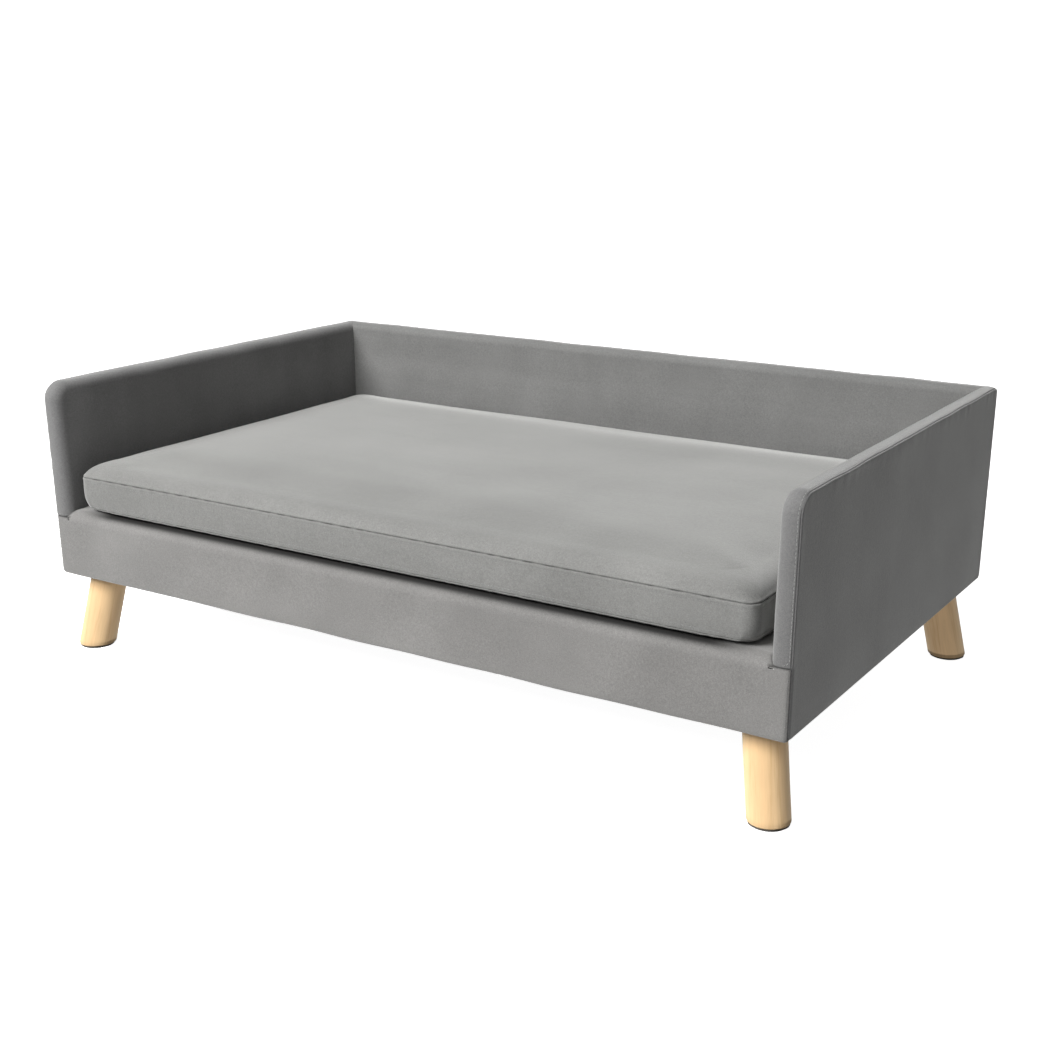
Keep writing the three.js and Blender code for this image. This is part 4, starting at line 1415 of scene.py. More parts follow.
@dataclass
class Cushion:
    """The loose seat cushion: a boxed velvet cover over foam, blown up and then sewn."""

    velvet: bpy.types.Material
    thread: bpy.types.Material
    foam: bpy.types.Material
    core_gap: float = 2.6 * MM
    corner_radius: float = 15 * MM
    pull_in: float = 1.6 * MM
    tucked_corner: float = 5.0 * MM
    most: float = 6 * MM
    pressure: float = 4.0
    frames: int = 20
    calming: int = 30
    seed: int = 71
    hem_row: int = 4
    seam_row: int = 10
    finer: int = 3

    def __post_init__(self) -> None:
        """Take the place from the model."""
        self.low, self.high = corners("cushion_cover")
        self.zip_low, self.zip_high = corners("zip_chain")

    def stations(self) -> list[tuple[float, float, float]]:
        """Rings from the bottom face to the top one, as inset, height and the corners' radius."""
        rows = (
            (26.0, 0.0, 30.0), (14.0, 0.6, 26.0), (6.2, 1.9, 21.0), (2.4, 3.8, 18.5), (0.9, 6.4, 16.5),
            (0.25, 11.0, 15.5), (0.0, 17.0, 15.0), (0.0, 24.0, 15.0), (0.0, 31.0, 15.0), (0.1, 38.0, 15.0),
            (0.6, 44.6, 15.0), (1.5, 49.0, 16.0), (3.4, 53.4, 17.5), (6.4, 57.2, 20.0), (10.6, 60.2, 23.5),
            (16.2, 62.3, 28.0), (23.2, 63.5, 33.0), (31.2, 64.1, 38.0),
        )
        return [(inset * MM, self.low[2] + height * MM, corner * MM) for inset, height, corner in rows]

    def cut(self) -> Shell:
        """The cover as it is cut: boxed, with a crowned top.

        Returns:
            The coarse shell.
        """
        outline = Outline(
            tuple(self.low[:2]), tuple(self.high[:2]), (self.corner_radius,) * 4,
            graded(110, 0.08), graded(64, 0.08), 5, least=5 * MM,
        )
        shell = Shell.stacked(outline, self.stations())
        points = shell.points()
        middle = 0.5 * (self.low + self.high)
        half = 0.5 * (self.high - self.low)
        across = (points[:, 0] - middle[0]) / half[0]
        along = (points[:, 1] - middle[1]) / half[1]
        waist = self.pull_in * ease(points[:, 2], self.low[2], self.low[2] + 12 * MM)
        points[:, 0] -= np.sign(across) * waist * (1 - along**2) * ease(np.abs(across), 0.8, 1.0)
        points[:, 1] -= np.sign(along) * waist * (1 - across**4) * ease(np.abs(along), 0.7, 1.0)
        inset = self.stations()[-1][0]
        dx = np.maximum(half[0] - np.abs(points[:, 0] - middle[0]) - inset, 0)
        dy = np.maximum(half[1] - np.abs(points[:, 1] - middle[1]) - inset, 0)
        on_top = points[:, 2] > self.low[2] + 64.0 * MM
        points[:, 2] += 1.2 * MM * (1 - np.exp(-dx / (16 * MM))) * (1 - np.exp(-dy / (16 * MM))) * on_top
        lower = np.clip(1 - (points[:, 2] - self.low[2]) / (24 * MM), 0, 1) ** 1.8 * self.corner_share(points)
        points[:, 0] -= np.sign(across) * self.tucked_corner * lower
        points[:, 1] -= np.sign(along) * self.tucked_corner * lower
        return shell.with_points(points)

    def blown(self, shell: Shell) -> Shell:
        """Blow the cover up by a cloth simulation, and keep each point within reach of where it was.

        Args:
            shell: the cover as cut.

        Returns:
            The swollen cover.
        """
        points = shell.points()
        faces = turned_out(points, shell.faces())
        mesh = bpy.data.meshes.new("cushion_blank")
        mesh.from_pydata(points.tolist(), [], faces.tolist())
        blank = bpy.data.objects.new("cushion_blank", mesh)
        bpy.context.scene.collection.objects.link(blank)
        ring = shell.by_ring(np.arange(shell.size[0]), -1)
        flat = points[:, 2] < self.low[2] + 0.4 * MM
        held = blank.vertex_groups.new(name="held")
        for still in (flat, np.isin(ring, (self.hem_row, self.seam_row))):
            held.add(np.nonzero(still)[0].tolist(), 1.0, "REPLACE")
        cloth = blank.modifiers.new("swell", "CLOTH")
        cloth.point_cache.frame_start, cloth.point_cache.frame_end = 1, self.frames
        settings = cloth.settings
        settings.quality = 5
        settings.mass = 0.3
        settings.tension_stiffness = settings.compression_stiffness = 18
        settings.shear_stiffness = 6
        settings.bending_stiffness = 0.6
        settings.air_damping = 2.0
        settings.vertex_group_mass = "held"
        settings.use_pressure = True
        settings.uniform_pressure_force = self.pressure
        settings.effector_weights.gravity = 0
        cloth.collision_settings.use_collision = False
        scene = bpy.context.scene
        for number in range(1, self.frames + 1):
            scene.frame_set(number)
        made = blank.evaluated_get(bpy.context.evaluated_depsgraph_get()).to_mesh()
        moved = np.zeros(len(points) * 3)
        made.vertices.foreach_get("co", moved)
        scene.frame_set(1)
        bpy.data.objects.remove(blank)
        bpy.data.meshes.remove(mesh)
        shift = moved.reshape(-1, 3) - points
        length = np.linalg.norm(shift, axis=1, keepdims=True)
        log.info("cushion swells by %.1f mm at most", length.max() / MM)
        shift *= self.most * np.tanh(length / self.most) / np.maximum(length, 1e-9)
        shift[flat] = 0
        free = (ring < 0) & (points[:, 2] > self.low[2] + 20 * MM) | (ring > self.seam_row)
        pairs = np.concatenate([faces[:, [0, 1]], faces[:, [1, 2]], faces[:, [2, 3]], faces[:, [3, 0]]])
        count = np.bincount(pairs[:, 0], minlength=len(points))
        for _ in range(self.calming):
            beside = shift[pairs[:, 1]].T
            mean = np.stack([np.bincount(pairs[:, 0], part, len(points)) for part in beside], 1)
            shift = np.where(free[:, None], 0.5 * shift + 0.5 * mean / count[:, None], shift)
        return shell.with_points(points + shift)

    def refined(self, shell: Shell) -> tuple[Shell, np.ndarray]:
        """A finer cover, with rings close beside both seams.

        Args:
            shell: the swollen cover.

        Returns:
            The finer shell, and each ring's place between the coarse ones.
        """
        step = np.array([-0.6, -0.36, -0.2, -0.09, 0.0, 0.09, 0.2, 0.36, 0.6])
        rows = np.append(np.arange(0, len(shell.rim) - 1.2, 0.34), len(shell.rim) - 1.0)
        for seam in (self.hem_row, self.seam_row):
            rows = np.concatenate([rows[np.abs(rows - seam) > 0.78], seam + step])
        rows = np.sort(rows)
        return shell.refined(rows, self.finer), rows

    def sewn(self, shell: Shell, rows: np.ndarray) -> tuple[np.ndarray, np.ndarray, dict[str, np.ndarray]]:
        """Press the seams in, gather the cloth beside them, and mark painted light and shade on the velvet.

        Args:
            shell: the finer shell.
            rows: each ring's place between the coarse ones.

        Returns:
            Points, quads, and the marks that the velvet reads.
        """
        points = shell.points()
        faces = turned_out(points, shell.faces())
        normal = normals_of(points, faces)
        rings, around, _, _ = shell.size
        place = shell.by_ring(rows, np.nan)
        seam_ring = shell.rim[int(np.argmin(np.abs(rows - self.seam_row)))]
        step = np.linalg.norm(np.diff(np.concatenate([seam_ring, seam_ring[:1]]), axis=0), axis=1)
        run = np.concatenate([[0.0], np.cumsum(step)[:-1]])
        way = np.zeros(len(points))
        way[: rings * around] = np.tile(run, rings)
        from_seam = self.across(shell, rows, self.seam_row)
        from_hem = self.across(shell, rows, self.hem_row)
        in_rim = ~np.isnan(place)
        gather = ripple(way, self.seed + 1, (0.012, 0.034))
        gather *= 0.55 + 0.45 * ripple(way, self.seed + 2, (0.08, 0.25))
        small = ripple(way, self.seed + 3, (0.006, 0.014))
        swell = np.zeros(len(points))
        seam = np.zeros(len(points))
        for distance, depth in ((from_seam, 1.0), (from_hem, 0.7)):
            d = np.where(in_rim, np.abs(distance), 1.0)
            swell -= 0.8 * MM * depth * fade(d, 0.6 * MM)
            swell += 0.30 * MM * depth * fade(d - 1.9 * MM, 1.3 * MM)
            swell += 0.22 * MM * depth * gather * fade(d - 4 * MM, 6 * MM)
            swell += 0.09 * MM * depth * small * fade(d - 2.4 * MM, 2.2 * MM)
            seam = np.maximum(seam, depth * fade(d, 0.62 * MM) * (0.62 + 0.25 * np.tanh(2 * gather)))
        swell -= 0.22 * MM * np.where(in_rim, fade(from_seam + 5.2 * MM, 0.9 * MM), 0.0)
        swell -= 0.22 * MM * np.where(in_rim, fade(from_hem - 4.6 * MM, 0.9 * MM), 0.0)
        corner = self.corner_share(points)
        low_part = ease(points[:, 2], self.low[2] + 20 * MM, self.low[2] + 4 * MM)
        swell += 0.28 * MM * corner * ripple(way, self.seed + 4, (0.009, 0.022)) * low_part * in_rim
        top = ease(points[:, 2], self.low[2] + 52 * MM, self.low[2] + 62 * MM)
        swell += 0.4 * MM * top * ripple(points, self.seed + 5, (0.07, 0.26))
        lying = points[:, 2] < self.low[2] + 0.5 * MM
        swell = np.where(lying, 0.0, swell)
        points = points + normal * swell[:, None]
        behind = points[:, 1] > self.zip_low[1] - 6 * MM
        behind &= np.abs(points[:, 0]) < self.zip_high[0] + 8 * MM
        band = ease(np.abs(points[:, 2] - 0.5 * (self.zip_low[2] + self.zip_high[2])), 14 * MM, 6 * MM)
        bedded = np.minimum(points[:, 1], self.zip_low[1] + 0.1 * MM)
        points[:, 1] = np.where(behind, points[:, 1] * (1 - band) + bedded * band, points[:, 1])
        # Painted shade: the cushion's rolled bottom edge marked dark, as a seam is.
        under = ease(place, 0.2, 2.0) * ease(place, 3.5, 2.6)
        seam = np.maximum(seam, np.where(in_rim, 0.95 * under, 0.0))
        pile_tone_and_painted_light = 0.025 * ripple(points, self.seed + 6, (0.06, 0.2))
        # A painted highlight on the ridge just below the top seam.
        pile_tone_and_painted_light += 0.05 * np.where(in_rim, fade(from_seam + 2.0 * MM, 1.1 * MM), 0.0)
        # Painted light and shade on the top: lighter towards both sides, darker towards the back.
        pile_tone_and_painted_light += 0.13 * top * ease(np.abs(points[:, 0]), 120 * MM, 400 * MM)
        pile_tone_and_painted_light -= 0.08 * top * ease(points[:, 1], 110 * MM, 250 * MM)
        # Painted shade: the top darker near its front right corner, beside the right arm.
        brushed = fade(self.high[0] - points[:, 0], 34 * MM) * fade(points[:, 1] - self.low[1], 120 * MM)
        pile_tone_and_painted_light -= 0.27 * brushed * ease(points[:, 2], self.low[2] + 44 * MM, self.low[2] + 52 * MM)
        return points, faces, {"pile_tone_and_painted_light": pile_tone_and_painted_light, "seam": np.clip(seam, 0, 1)}

    def across(self, shell: Shell, rows: np.ndarray, row: int) -> np.ndarray:
        """The distance of each rim point from a ring, measured over the cloth, above it positive.

        Args:
            shell: the finer shell.
            rows: each ring's place between the coarse ones.
            row: the coarse ring.

        Returns:
            One distance for each point, 1 m away from the rim.
        """
        step = np.linalg.norm(np.diff(shell.rim, axis=0), axis=2)
        climb = np.concatenate([np.zeros((1, shell.rim.shape[1])), np.cumsum(step, axis=0)])
        zero = climb[int(np.argmin(np.abs(rows - row)))]
        made = np.full(len(shell.points()), 1.0)
        made[: climb.size] = (climb - zero).reshape(-1)
        return made

    def corner_share(self, points: np.ndarray) -> np.ndarray:
        """1 at the four upright corners, and 0 away from them."""
        dx = np.minimum(points[:, 0] - self.low[0], self.high[0] - points[:, 0])
        dy = np.minimum(points[:, 1] - self.low[1], self.high[1] - points[:, 1])
        return fade(np.maximum(dx, dy), 42 * MM)

    def build(self) -> None:
        """Make the cover and its stitches."""
        shell = self.cut()
        shell = self.blown(shell)
        shell, rows = self.refined(shell)
        points, faces, marks = self.sewn(shell, rows)
        cover = piece("cushion_top_cover", points, faces, self.velvet, Body.CUSHION, Slot.CUSHION, marks)
        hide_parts("cushion_cover")
        sewing = Stitching.on(points, faces, radius=0.00022)
        rings, around, _, _ = shell.size
        rim = points[: rings * around].reshape(rings, around, 3)
        made = []
        for row, offset in ((self.seam_row, -5.2 * MM), (self.hem_row, 4.6 * MM)):
            distance = self.across(shell, rows, row)[: rings * around].reshape(rings, around)
            path = np.array([
                [np.interp(offset, distance[:, m], rim[:, m, k]) for k in range(3)]
                for m in range(0, around, 2)
            ])
            made += sewing.row(np.concatenate([path, path[:1]]))
        piece("cushion_topstitch", *joined(made), self.thread, Body.CUSHION, Slot.CUSHION)
        self.build_core(shell)

    def build_core(self, shell: Shell) -> None:
        """Make the foam core, which fills the cover.

        Args:
            shell: the finer shell of the cover, before its seams.
        """
        keep = shell.refined(np.linspace(0, len(shell.rim) - 1, 24), 1)
        points = keep.points()
        faces = turned_out(points, keep.faces())
        points = points - normals_of(points, faces) * self.core_gap
        points[:, 2] = np.maximum(points[:, 2], self.low[2] + 1.4 * MM)
        behind = points[:, 1] > self.zip_low[1] - 6 * MM
        points[behind, 1] = np.minimum(points[behind, 1], self.zip_low[1] - 1.2 * MM)
        core = piece("cushion_core", points, faces, self.foam, Body.CUSHION, Slot.FOAM)
        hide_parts("cushion_foam")


# ---------------------------------------------------------------- zip, legs, underside


def extruded(
    outline: np.ndarray, axis: int, low: float, high: float, round_edge: float
) -> tuple[np.ndarray, list[list[int]]]:
    """A plate with rounded edges from a closed outline.

    Args:
        outline: points in the plane, counter-clockwise about the axis.
        axis: the axis that the plate is square to.
        low: its lower face.
        high: its upper face.
        round_edge: the radius of its edges.

    Returns:
        Points and faces.
    """
    before, after = np.roll(outline, 1, 0), np.roll(outline, -1, 0)
    way = after - before
    way /= np.maximum(np.linalg.norm(way, axis=1, keepdims=True), 1e-9)
    inward = np.stack([-way[:, 1], way[:, 0]], 1)
    rings = []
    for level, sign in ((low, 1), (high, -1)):
        turn = np.radians([0, 30, 60, 90])
        ring = [(round_edge * (1 - math.sin(a)), level + sign * round_edge * (1 - math.cos(a))) for a in turn]
        rings += ring if sign == 1 else ring[::-1]
    points = []
    for inset, level in rings:
        points.append(np.insert(outline + inward * inset, axis, level, axis=1))
    faces = capped_faces(len(rings), len(outline))
    if axis == 1:
        faces = [polygon[::-1] for polygon in faces]
    return np.concatenate(points), faces


def rounded(low: tuple[float, float], high: tuple[float, float], radius: float, cells: int = 4) -> np.ndarray:
    """A plain rounded rectangle in a plane, counter-clockwise."""
    return Outline(low, high, (radius,) * 4, graded(4, 0), graded(4, 0), cells, least=radius).loop(0.0)


@dataclass
class Zip:
    """The zip along the cushion's back border: tape, coil, slider and pull."""

    tape: bpy.types.Material
    coil: bpy.types.Material
    metal: bpy.types.Material
    pitch: float = 1.6 * MM
    tooth: float = 0.95 * MM

    def __post_init__(self) -> None:
        """Take the places from the model."""
        self.chain, self.slider, self.pull = (
            corners(node) for node in ("zip_chain", "zip_slider", "zip_pull")
        )
        self.middle = 0.5 * (self.chain[0][2] + self.chain[1][2])

    def build(self) -> None:
        """Make every piece of the zip."""
        low, high = self.chain
        tape_back = low[1] + 0.55 * MM
        stripes = []
        gap, shown = 0.35 * MM, 3.2 * MM
        for bottom, top in ((low[2] - shown, self.middle - gap), (self.middle + gap, high[2] + shown)):
            outline = rounded((low[0] - 4 * MM, bottom), (high[0] + 4 * MM, top), 0.6 * MM, 2)
            stripes.append(extruded(outline, 1, tape_back - 0.5 * MM, tape_back, 0.2 * MM))
        piece("zip_tape", *joined(stripes), self.tape, Body.CUSHION, Slot.ZIP_COIL)
        teeth = []
        for number, x in enumerate(np.arange(low[0] + 1 * MM, high[0] - 1 * MM, 0.5 * self.pitch)):
            reach = (-2.2, 0.9) if number % 2 else (-0.9, 2.2)
            half, (below, above) = 0.5 * self.tooth, reach
            outline = rounded(
                (x - half, self.middle + below * MM), (x + half, self.middle + above * MM), 0.3 * MM, 1
            )
            teeth.append(extruded(outline[::2], 1, tape_back, high[1] - 0.05 * MM, 0.2 * MM))
        coil = piece("zip_teeth", *joined(teeth), self.coil, Body.CUSHION, Slot.ZIP_COIL)
        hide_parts("zip_chain")
        self.build_slider()
        self.build_pull()

    def build_slider(self) -> None:
        """Make the slider: two plates with a waist, and a bridge for the pull."""
        low, high = self.slider
        middle = 0.5 * (low + high)
        half = 0.5 * (high - low)
        angle = np.linspace(0, 2 * math.pi, 41)[:-1]
        waist = 1 - 0.16 * np.cos(2 * angle) ** 2
        body = np.stack([
            middle[0] + half[0] * np.sign(np.cos(angle)) * np.abs(np.cos(angle)) ** 0.55,
            middle[2] + half[2] * np.sign(np.sin(angle)) * np.abs(np.sin(angle)) ** 0.55 * waist,
        ], 1)
        parts = [extruded(body, 1, low[1], low[1] + 2.4 * MM, 0.5 * MM)]
        rings, sides = [], 10
        for share in np.linspace(0, 1, 13):
            turn = math.pi * share
            rise = 1.7 * MM + 2.6 * MM * math.sin(turn) ** 0.7
            centre = np.array([middle[0] + 3.6 * MM * math.cos(turn), low[1] + rise, middle[2]])
            out = np.array([math.cos(turn), math.sin(turn), 0.0])
            for k in range(sides):
                a = 2 * math.pi * k / sides
                rings.append(centre + 0.7 * MM * math.cos(a) * out + np.array([0, 0, 1.1 * MM * math.sin(a)]))
        parts.append((np.array(rings), capped_faces(13, sides)))
        made = piece("zip_slider_body", *joined(parts), self.metal, Body.SLIDER, Slot.ZIP_METAL)
        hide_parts("zip_slider")

    def build_pull(self) -> None:
        """Make the pull: a tapered tab with an eye at its top and ridges to grip."""
        low, high = self.pull
        x = 0.5 * (low[0] + high[0])
        depth = (low[1], high[1])
        rings, count = [], 36
        angle = np.linspace(0, 2 * math.pi, count + 1)[:-1]
        eye = np.array([x, high[2] - 3.0 * MM])
        outer = np.stack([eye[0] + 2.9 * MM * np.cos(angle), eye[1] + 2.95 * MM * np.sin(angle)], 1)
        inner = np.stack([eye[0] + 1.55 * MM * np.cos(angle), eye[1] + 1.6 * MM * np.sin(angle)], 1)
        bevel = 0.18 * MM
        for loop, grow, y in (
            (outer, -bevel, depth[0]), (outer, 0.0, depth[0] + bevel),
            (outer, 0.0, depth[1] - bevel), (outer, -bevel, depth[1]),
            (inner, bevel, depth[1]), (inner, 0.0, depth[1] - bevel),
            (inner, 0.0, depth[0] + bevel), (inner, bevel, depth[0]),
        ):
            out = (loop - eye) / np.linalg.norm(loop - eye, axis=1, keepdims=True)
            flat = loop + out * grow
            rings.append(np.stack([flat[:, 0], np.full(count, y), flat[:, 1]], 1))
        faces = [[i % (8 * count) for i in polygon[::-1]] for polygon in tube_faces(9, count)]
        parts = [(np.concatenate(rings), faces)]
        half_tab = [(1.5 * MM, low[2]), (2.6 * MM, low[2] + 0.9 * MM), (2.9 * MM, low[2] + 3 * MM)]
        half_tab += [(2.1 * MM, low[2] + 8 * MM), (1.5 * MM, high[2] - 5.4 * MM)]
        tab = np.array([(x - across, z) for across, z in half_tab[::-1]] + [(x + a, z) for a, z in half_tab])
        parts.append(extruded(tab, 1, *depth, 0.2 * MM))
        for z in np.arange(low[2] + 2.4 * MM, low[2] + 8.0 * MM, 1.1 * MM):
            ridge = rounded((x - 1.8 * MM, z - 0.25 * MM), (x + 1.8 * MM, z + 0.25 * MM), 0.2 * MM, 2)
            parts.append(extruded(ridge, 1, depth[1] - 0.1 * MM, depth[1] + 0.25 * MM, 0.1 * MM))
        made = piece("zip_pull_tab", *joined(parts), self.metal, Body.PULL, Slot.ZIP_METAL)
        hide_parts("zip_pull")


@dataclass
class Leg:
    """One splayed round leg with the felt pad under it."""

    corner: Corner
    wood: bpy.types.Material
    felt: bpy.types.Material
    diameter: float = 45 * MM
    splay: float = 14.4
    bottom_round: float = 1.8 * MM
    top_round: float = 1.2 * MM
    sides: int = 96

    def __post_init__(self) -> None:
        """Take the place from the model."""
        word = self.corner.name.lower()
        self.node, self.pad_node = f"leg_{word}", f"foot_pad_{word}"
        self.low, self.high = corners(self.node)
        self.pad_low, self.pad_high = corners(self.pad_node)
        self.foot = np.array([*(0.5 * (self.pad_low + self.pad_high))[:2], 0.0])

    def axis(self) -> np.ndarray:
        """The leg's own direction, from its foot upwards and inwards along the diagonal."""
        a = math.radians(self.splay)
        sx, sy = self.corner.value
        return np.array([-sx * math.sin(a) / math.sqrt(2), -sy * math.sin(a) / math.sqrt(2), math.cos(a)])

    def build(self) -> None:
        """Make the leg and its pad."""
        axis = self.axis()
        side = np.cross(axis, (0.0, 0.0, 1.0))
        side /= np.linalg.norm(side)
        other = np.cross(axis, side)
        radius = 0.5 * self.diameter
        bottom, top = self.low[2], self.high[2]
        turn = np.radians([15, 35, 55, 75, 90])
        round_low, round_high = self.bottom_round, self.top_round
        profile = [(0.0, "low", 0.0), (0.5, "low", 0.0), (0.82, "low", 0.0)]
        profile += [
            (1 - round_low / radius * (1 - math.sin(a)), "low", round_low * (1 - math.cos(a))) for a in turn
        ]
        profile += [(1.0, "share", share) for share in np.linspace(0.05, 0.95, 19)]
        profile += [
            (1 - round_high / radius * (1 - math.sin(a)), "high", round_high * (1 - math.cos(a)))
            for a in turn[::-1]
        ]
        profile += [(0.8, "high", 0.0), (0.45, "high", 0.0), (0.0, "high", 0.0)]
        angle = np.linspace(0, 2 * math.pi, self.sides + 1)[:-1]
        points, marks = [], {"grain_x": [], "grain_y": [], "grain_along": [], "end_grain": []}
        turned = float(sum(self.corner.value)) * 0.7 + 1.1 * self.corner.value[0]
        for share, kind, amount in profile:
            across = radius * share * (np.cos(angle)[:, None] * side + np.sin(angle)[:, None] * other)
            start = self.foot + across
            low_t = (bottom - start[:, 2]) / axis[2]
            high_t = (top - start[:, 2]) / axis[2]
            if kind == "low":
                t = low_t + amount
            elif kind == "high":
                t = high_t - amount
            else:
                inner_low, inner_high = low_t + round_low, high_t - round_high
                t = inner_low + (inner_high - inner_low) * amount
            points.append(start + t[:, None] * axis)
            marks["grain_x"].append(radius * share * np.cos(angle) + 0.31 * turned)
            marks["grain_y"].append(radius * share * np.sin(angle) + 0.17 * turned)
            marks["grain_along"].append(t)
            marks["end_grain"].append(np.full(self.sides, 1.0 if kind != "share" and share < 0.97 else 0.0))
        points = np.concatenate(points)
        faces = turned_out(points, np.array(tube_faces(len(profile), self.sides)))
        word = self.corner.name.lower()
        flat_marks = {key: np.concatenate(values) for key, values in marks.items()}
        spots, polygons, flat_marks = welded(points, faces, flat_marks)
        leg = piece(f"round_leg_{word}", spots, polygons, self.wood, Body.FRAME, Slot.LEG, flat_marks)
        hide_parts(self.node)
        self.build_pad(word)

    def build_pad(self, word: str) -> None:
        """Make the felt pad: a thin disc with a soft, slightly uneven rim."""
        middle = 0.5 * (self.pad_low + self.pad_high)
        radius = 0.5 * (self.pad_high[0] - self.pad_low[0])
        angle = np.linspace(0, 2 * math.pi, 73)[:-1]
        uneven = radius - 0.15 * MM + 0.15 * MM * ripple(angle, 5, (0.5, 1.6))
        outline = np.stack([middle[0] + uneven * np.cos(angle), middle[1] + uneven * np.sin(angle)], 1)
        points, faces = extruded(outline, 2, self.pad_low[2], self.pad_high[2], 0.6 * MM)
        pad = piece(f"felt_pad_{word}", points, faces, self.felt, Body.FRAME, Slot.FELT)
        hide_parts(self.pad_node)


def welded(
    points: np.ndarray, faces: np.ndarray, marks: dict[str, np.ndarray]
) -> tuple[np.ndarray, list[list[int]], dict[str, np.ndarray]]:
    """A mesh with coincident points made one, and faces that lose a side mended.

    Args:
        points: the mesh's points.
        faces: its faces.
        marks: values at each point.

    Returns:
        Points, faces and marks.
    """
    key = np.round(points / (0.001 * MM)).astype(np.int64)
    _, first, back = np.unique(key, axis=0, return_index=True, return_inverse=True)
    back = back.reshape(-1)
    kept = []
    for polygon in faces.tolist() if isinstance(faces, np.ndarray) else faces:
        ring = [int(back[i]) for i in polygon]
        ring = [p for n, p in enumerate(ring) if p != ring[n - 1]]
        if len(set(ring)) > 2:
            kept.append(ring)
    return points[first], kept, {name: values[first] for name, values in marks.items()}


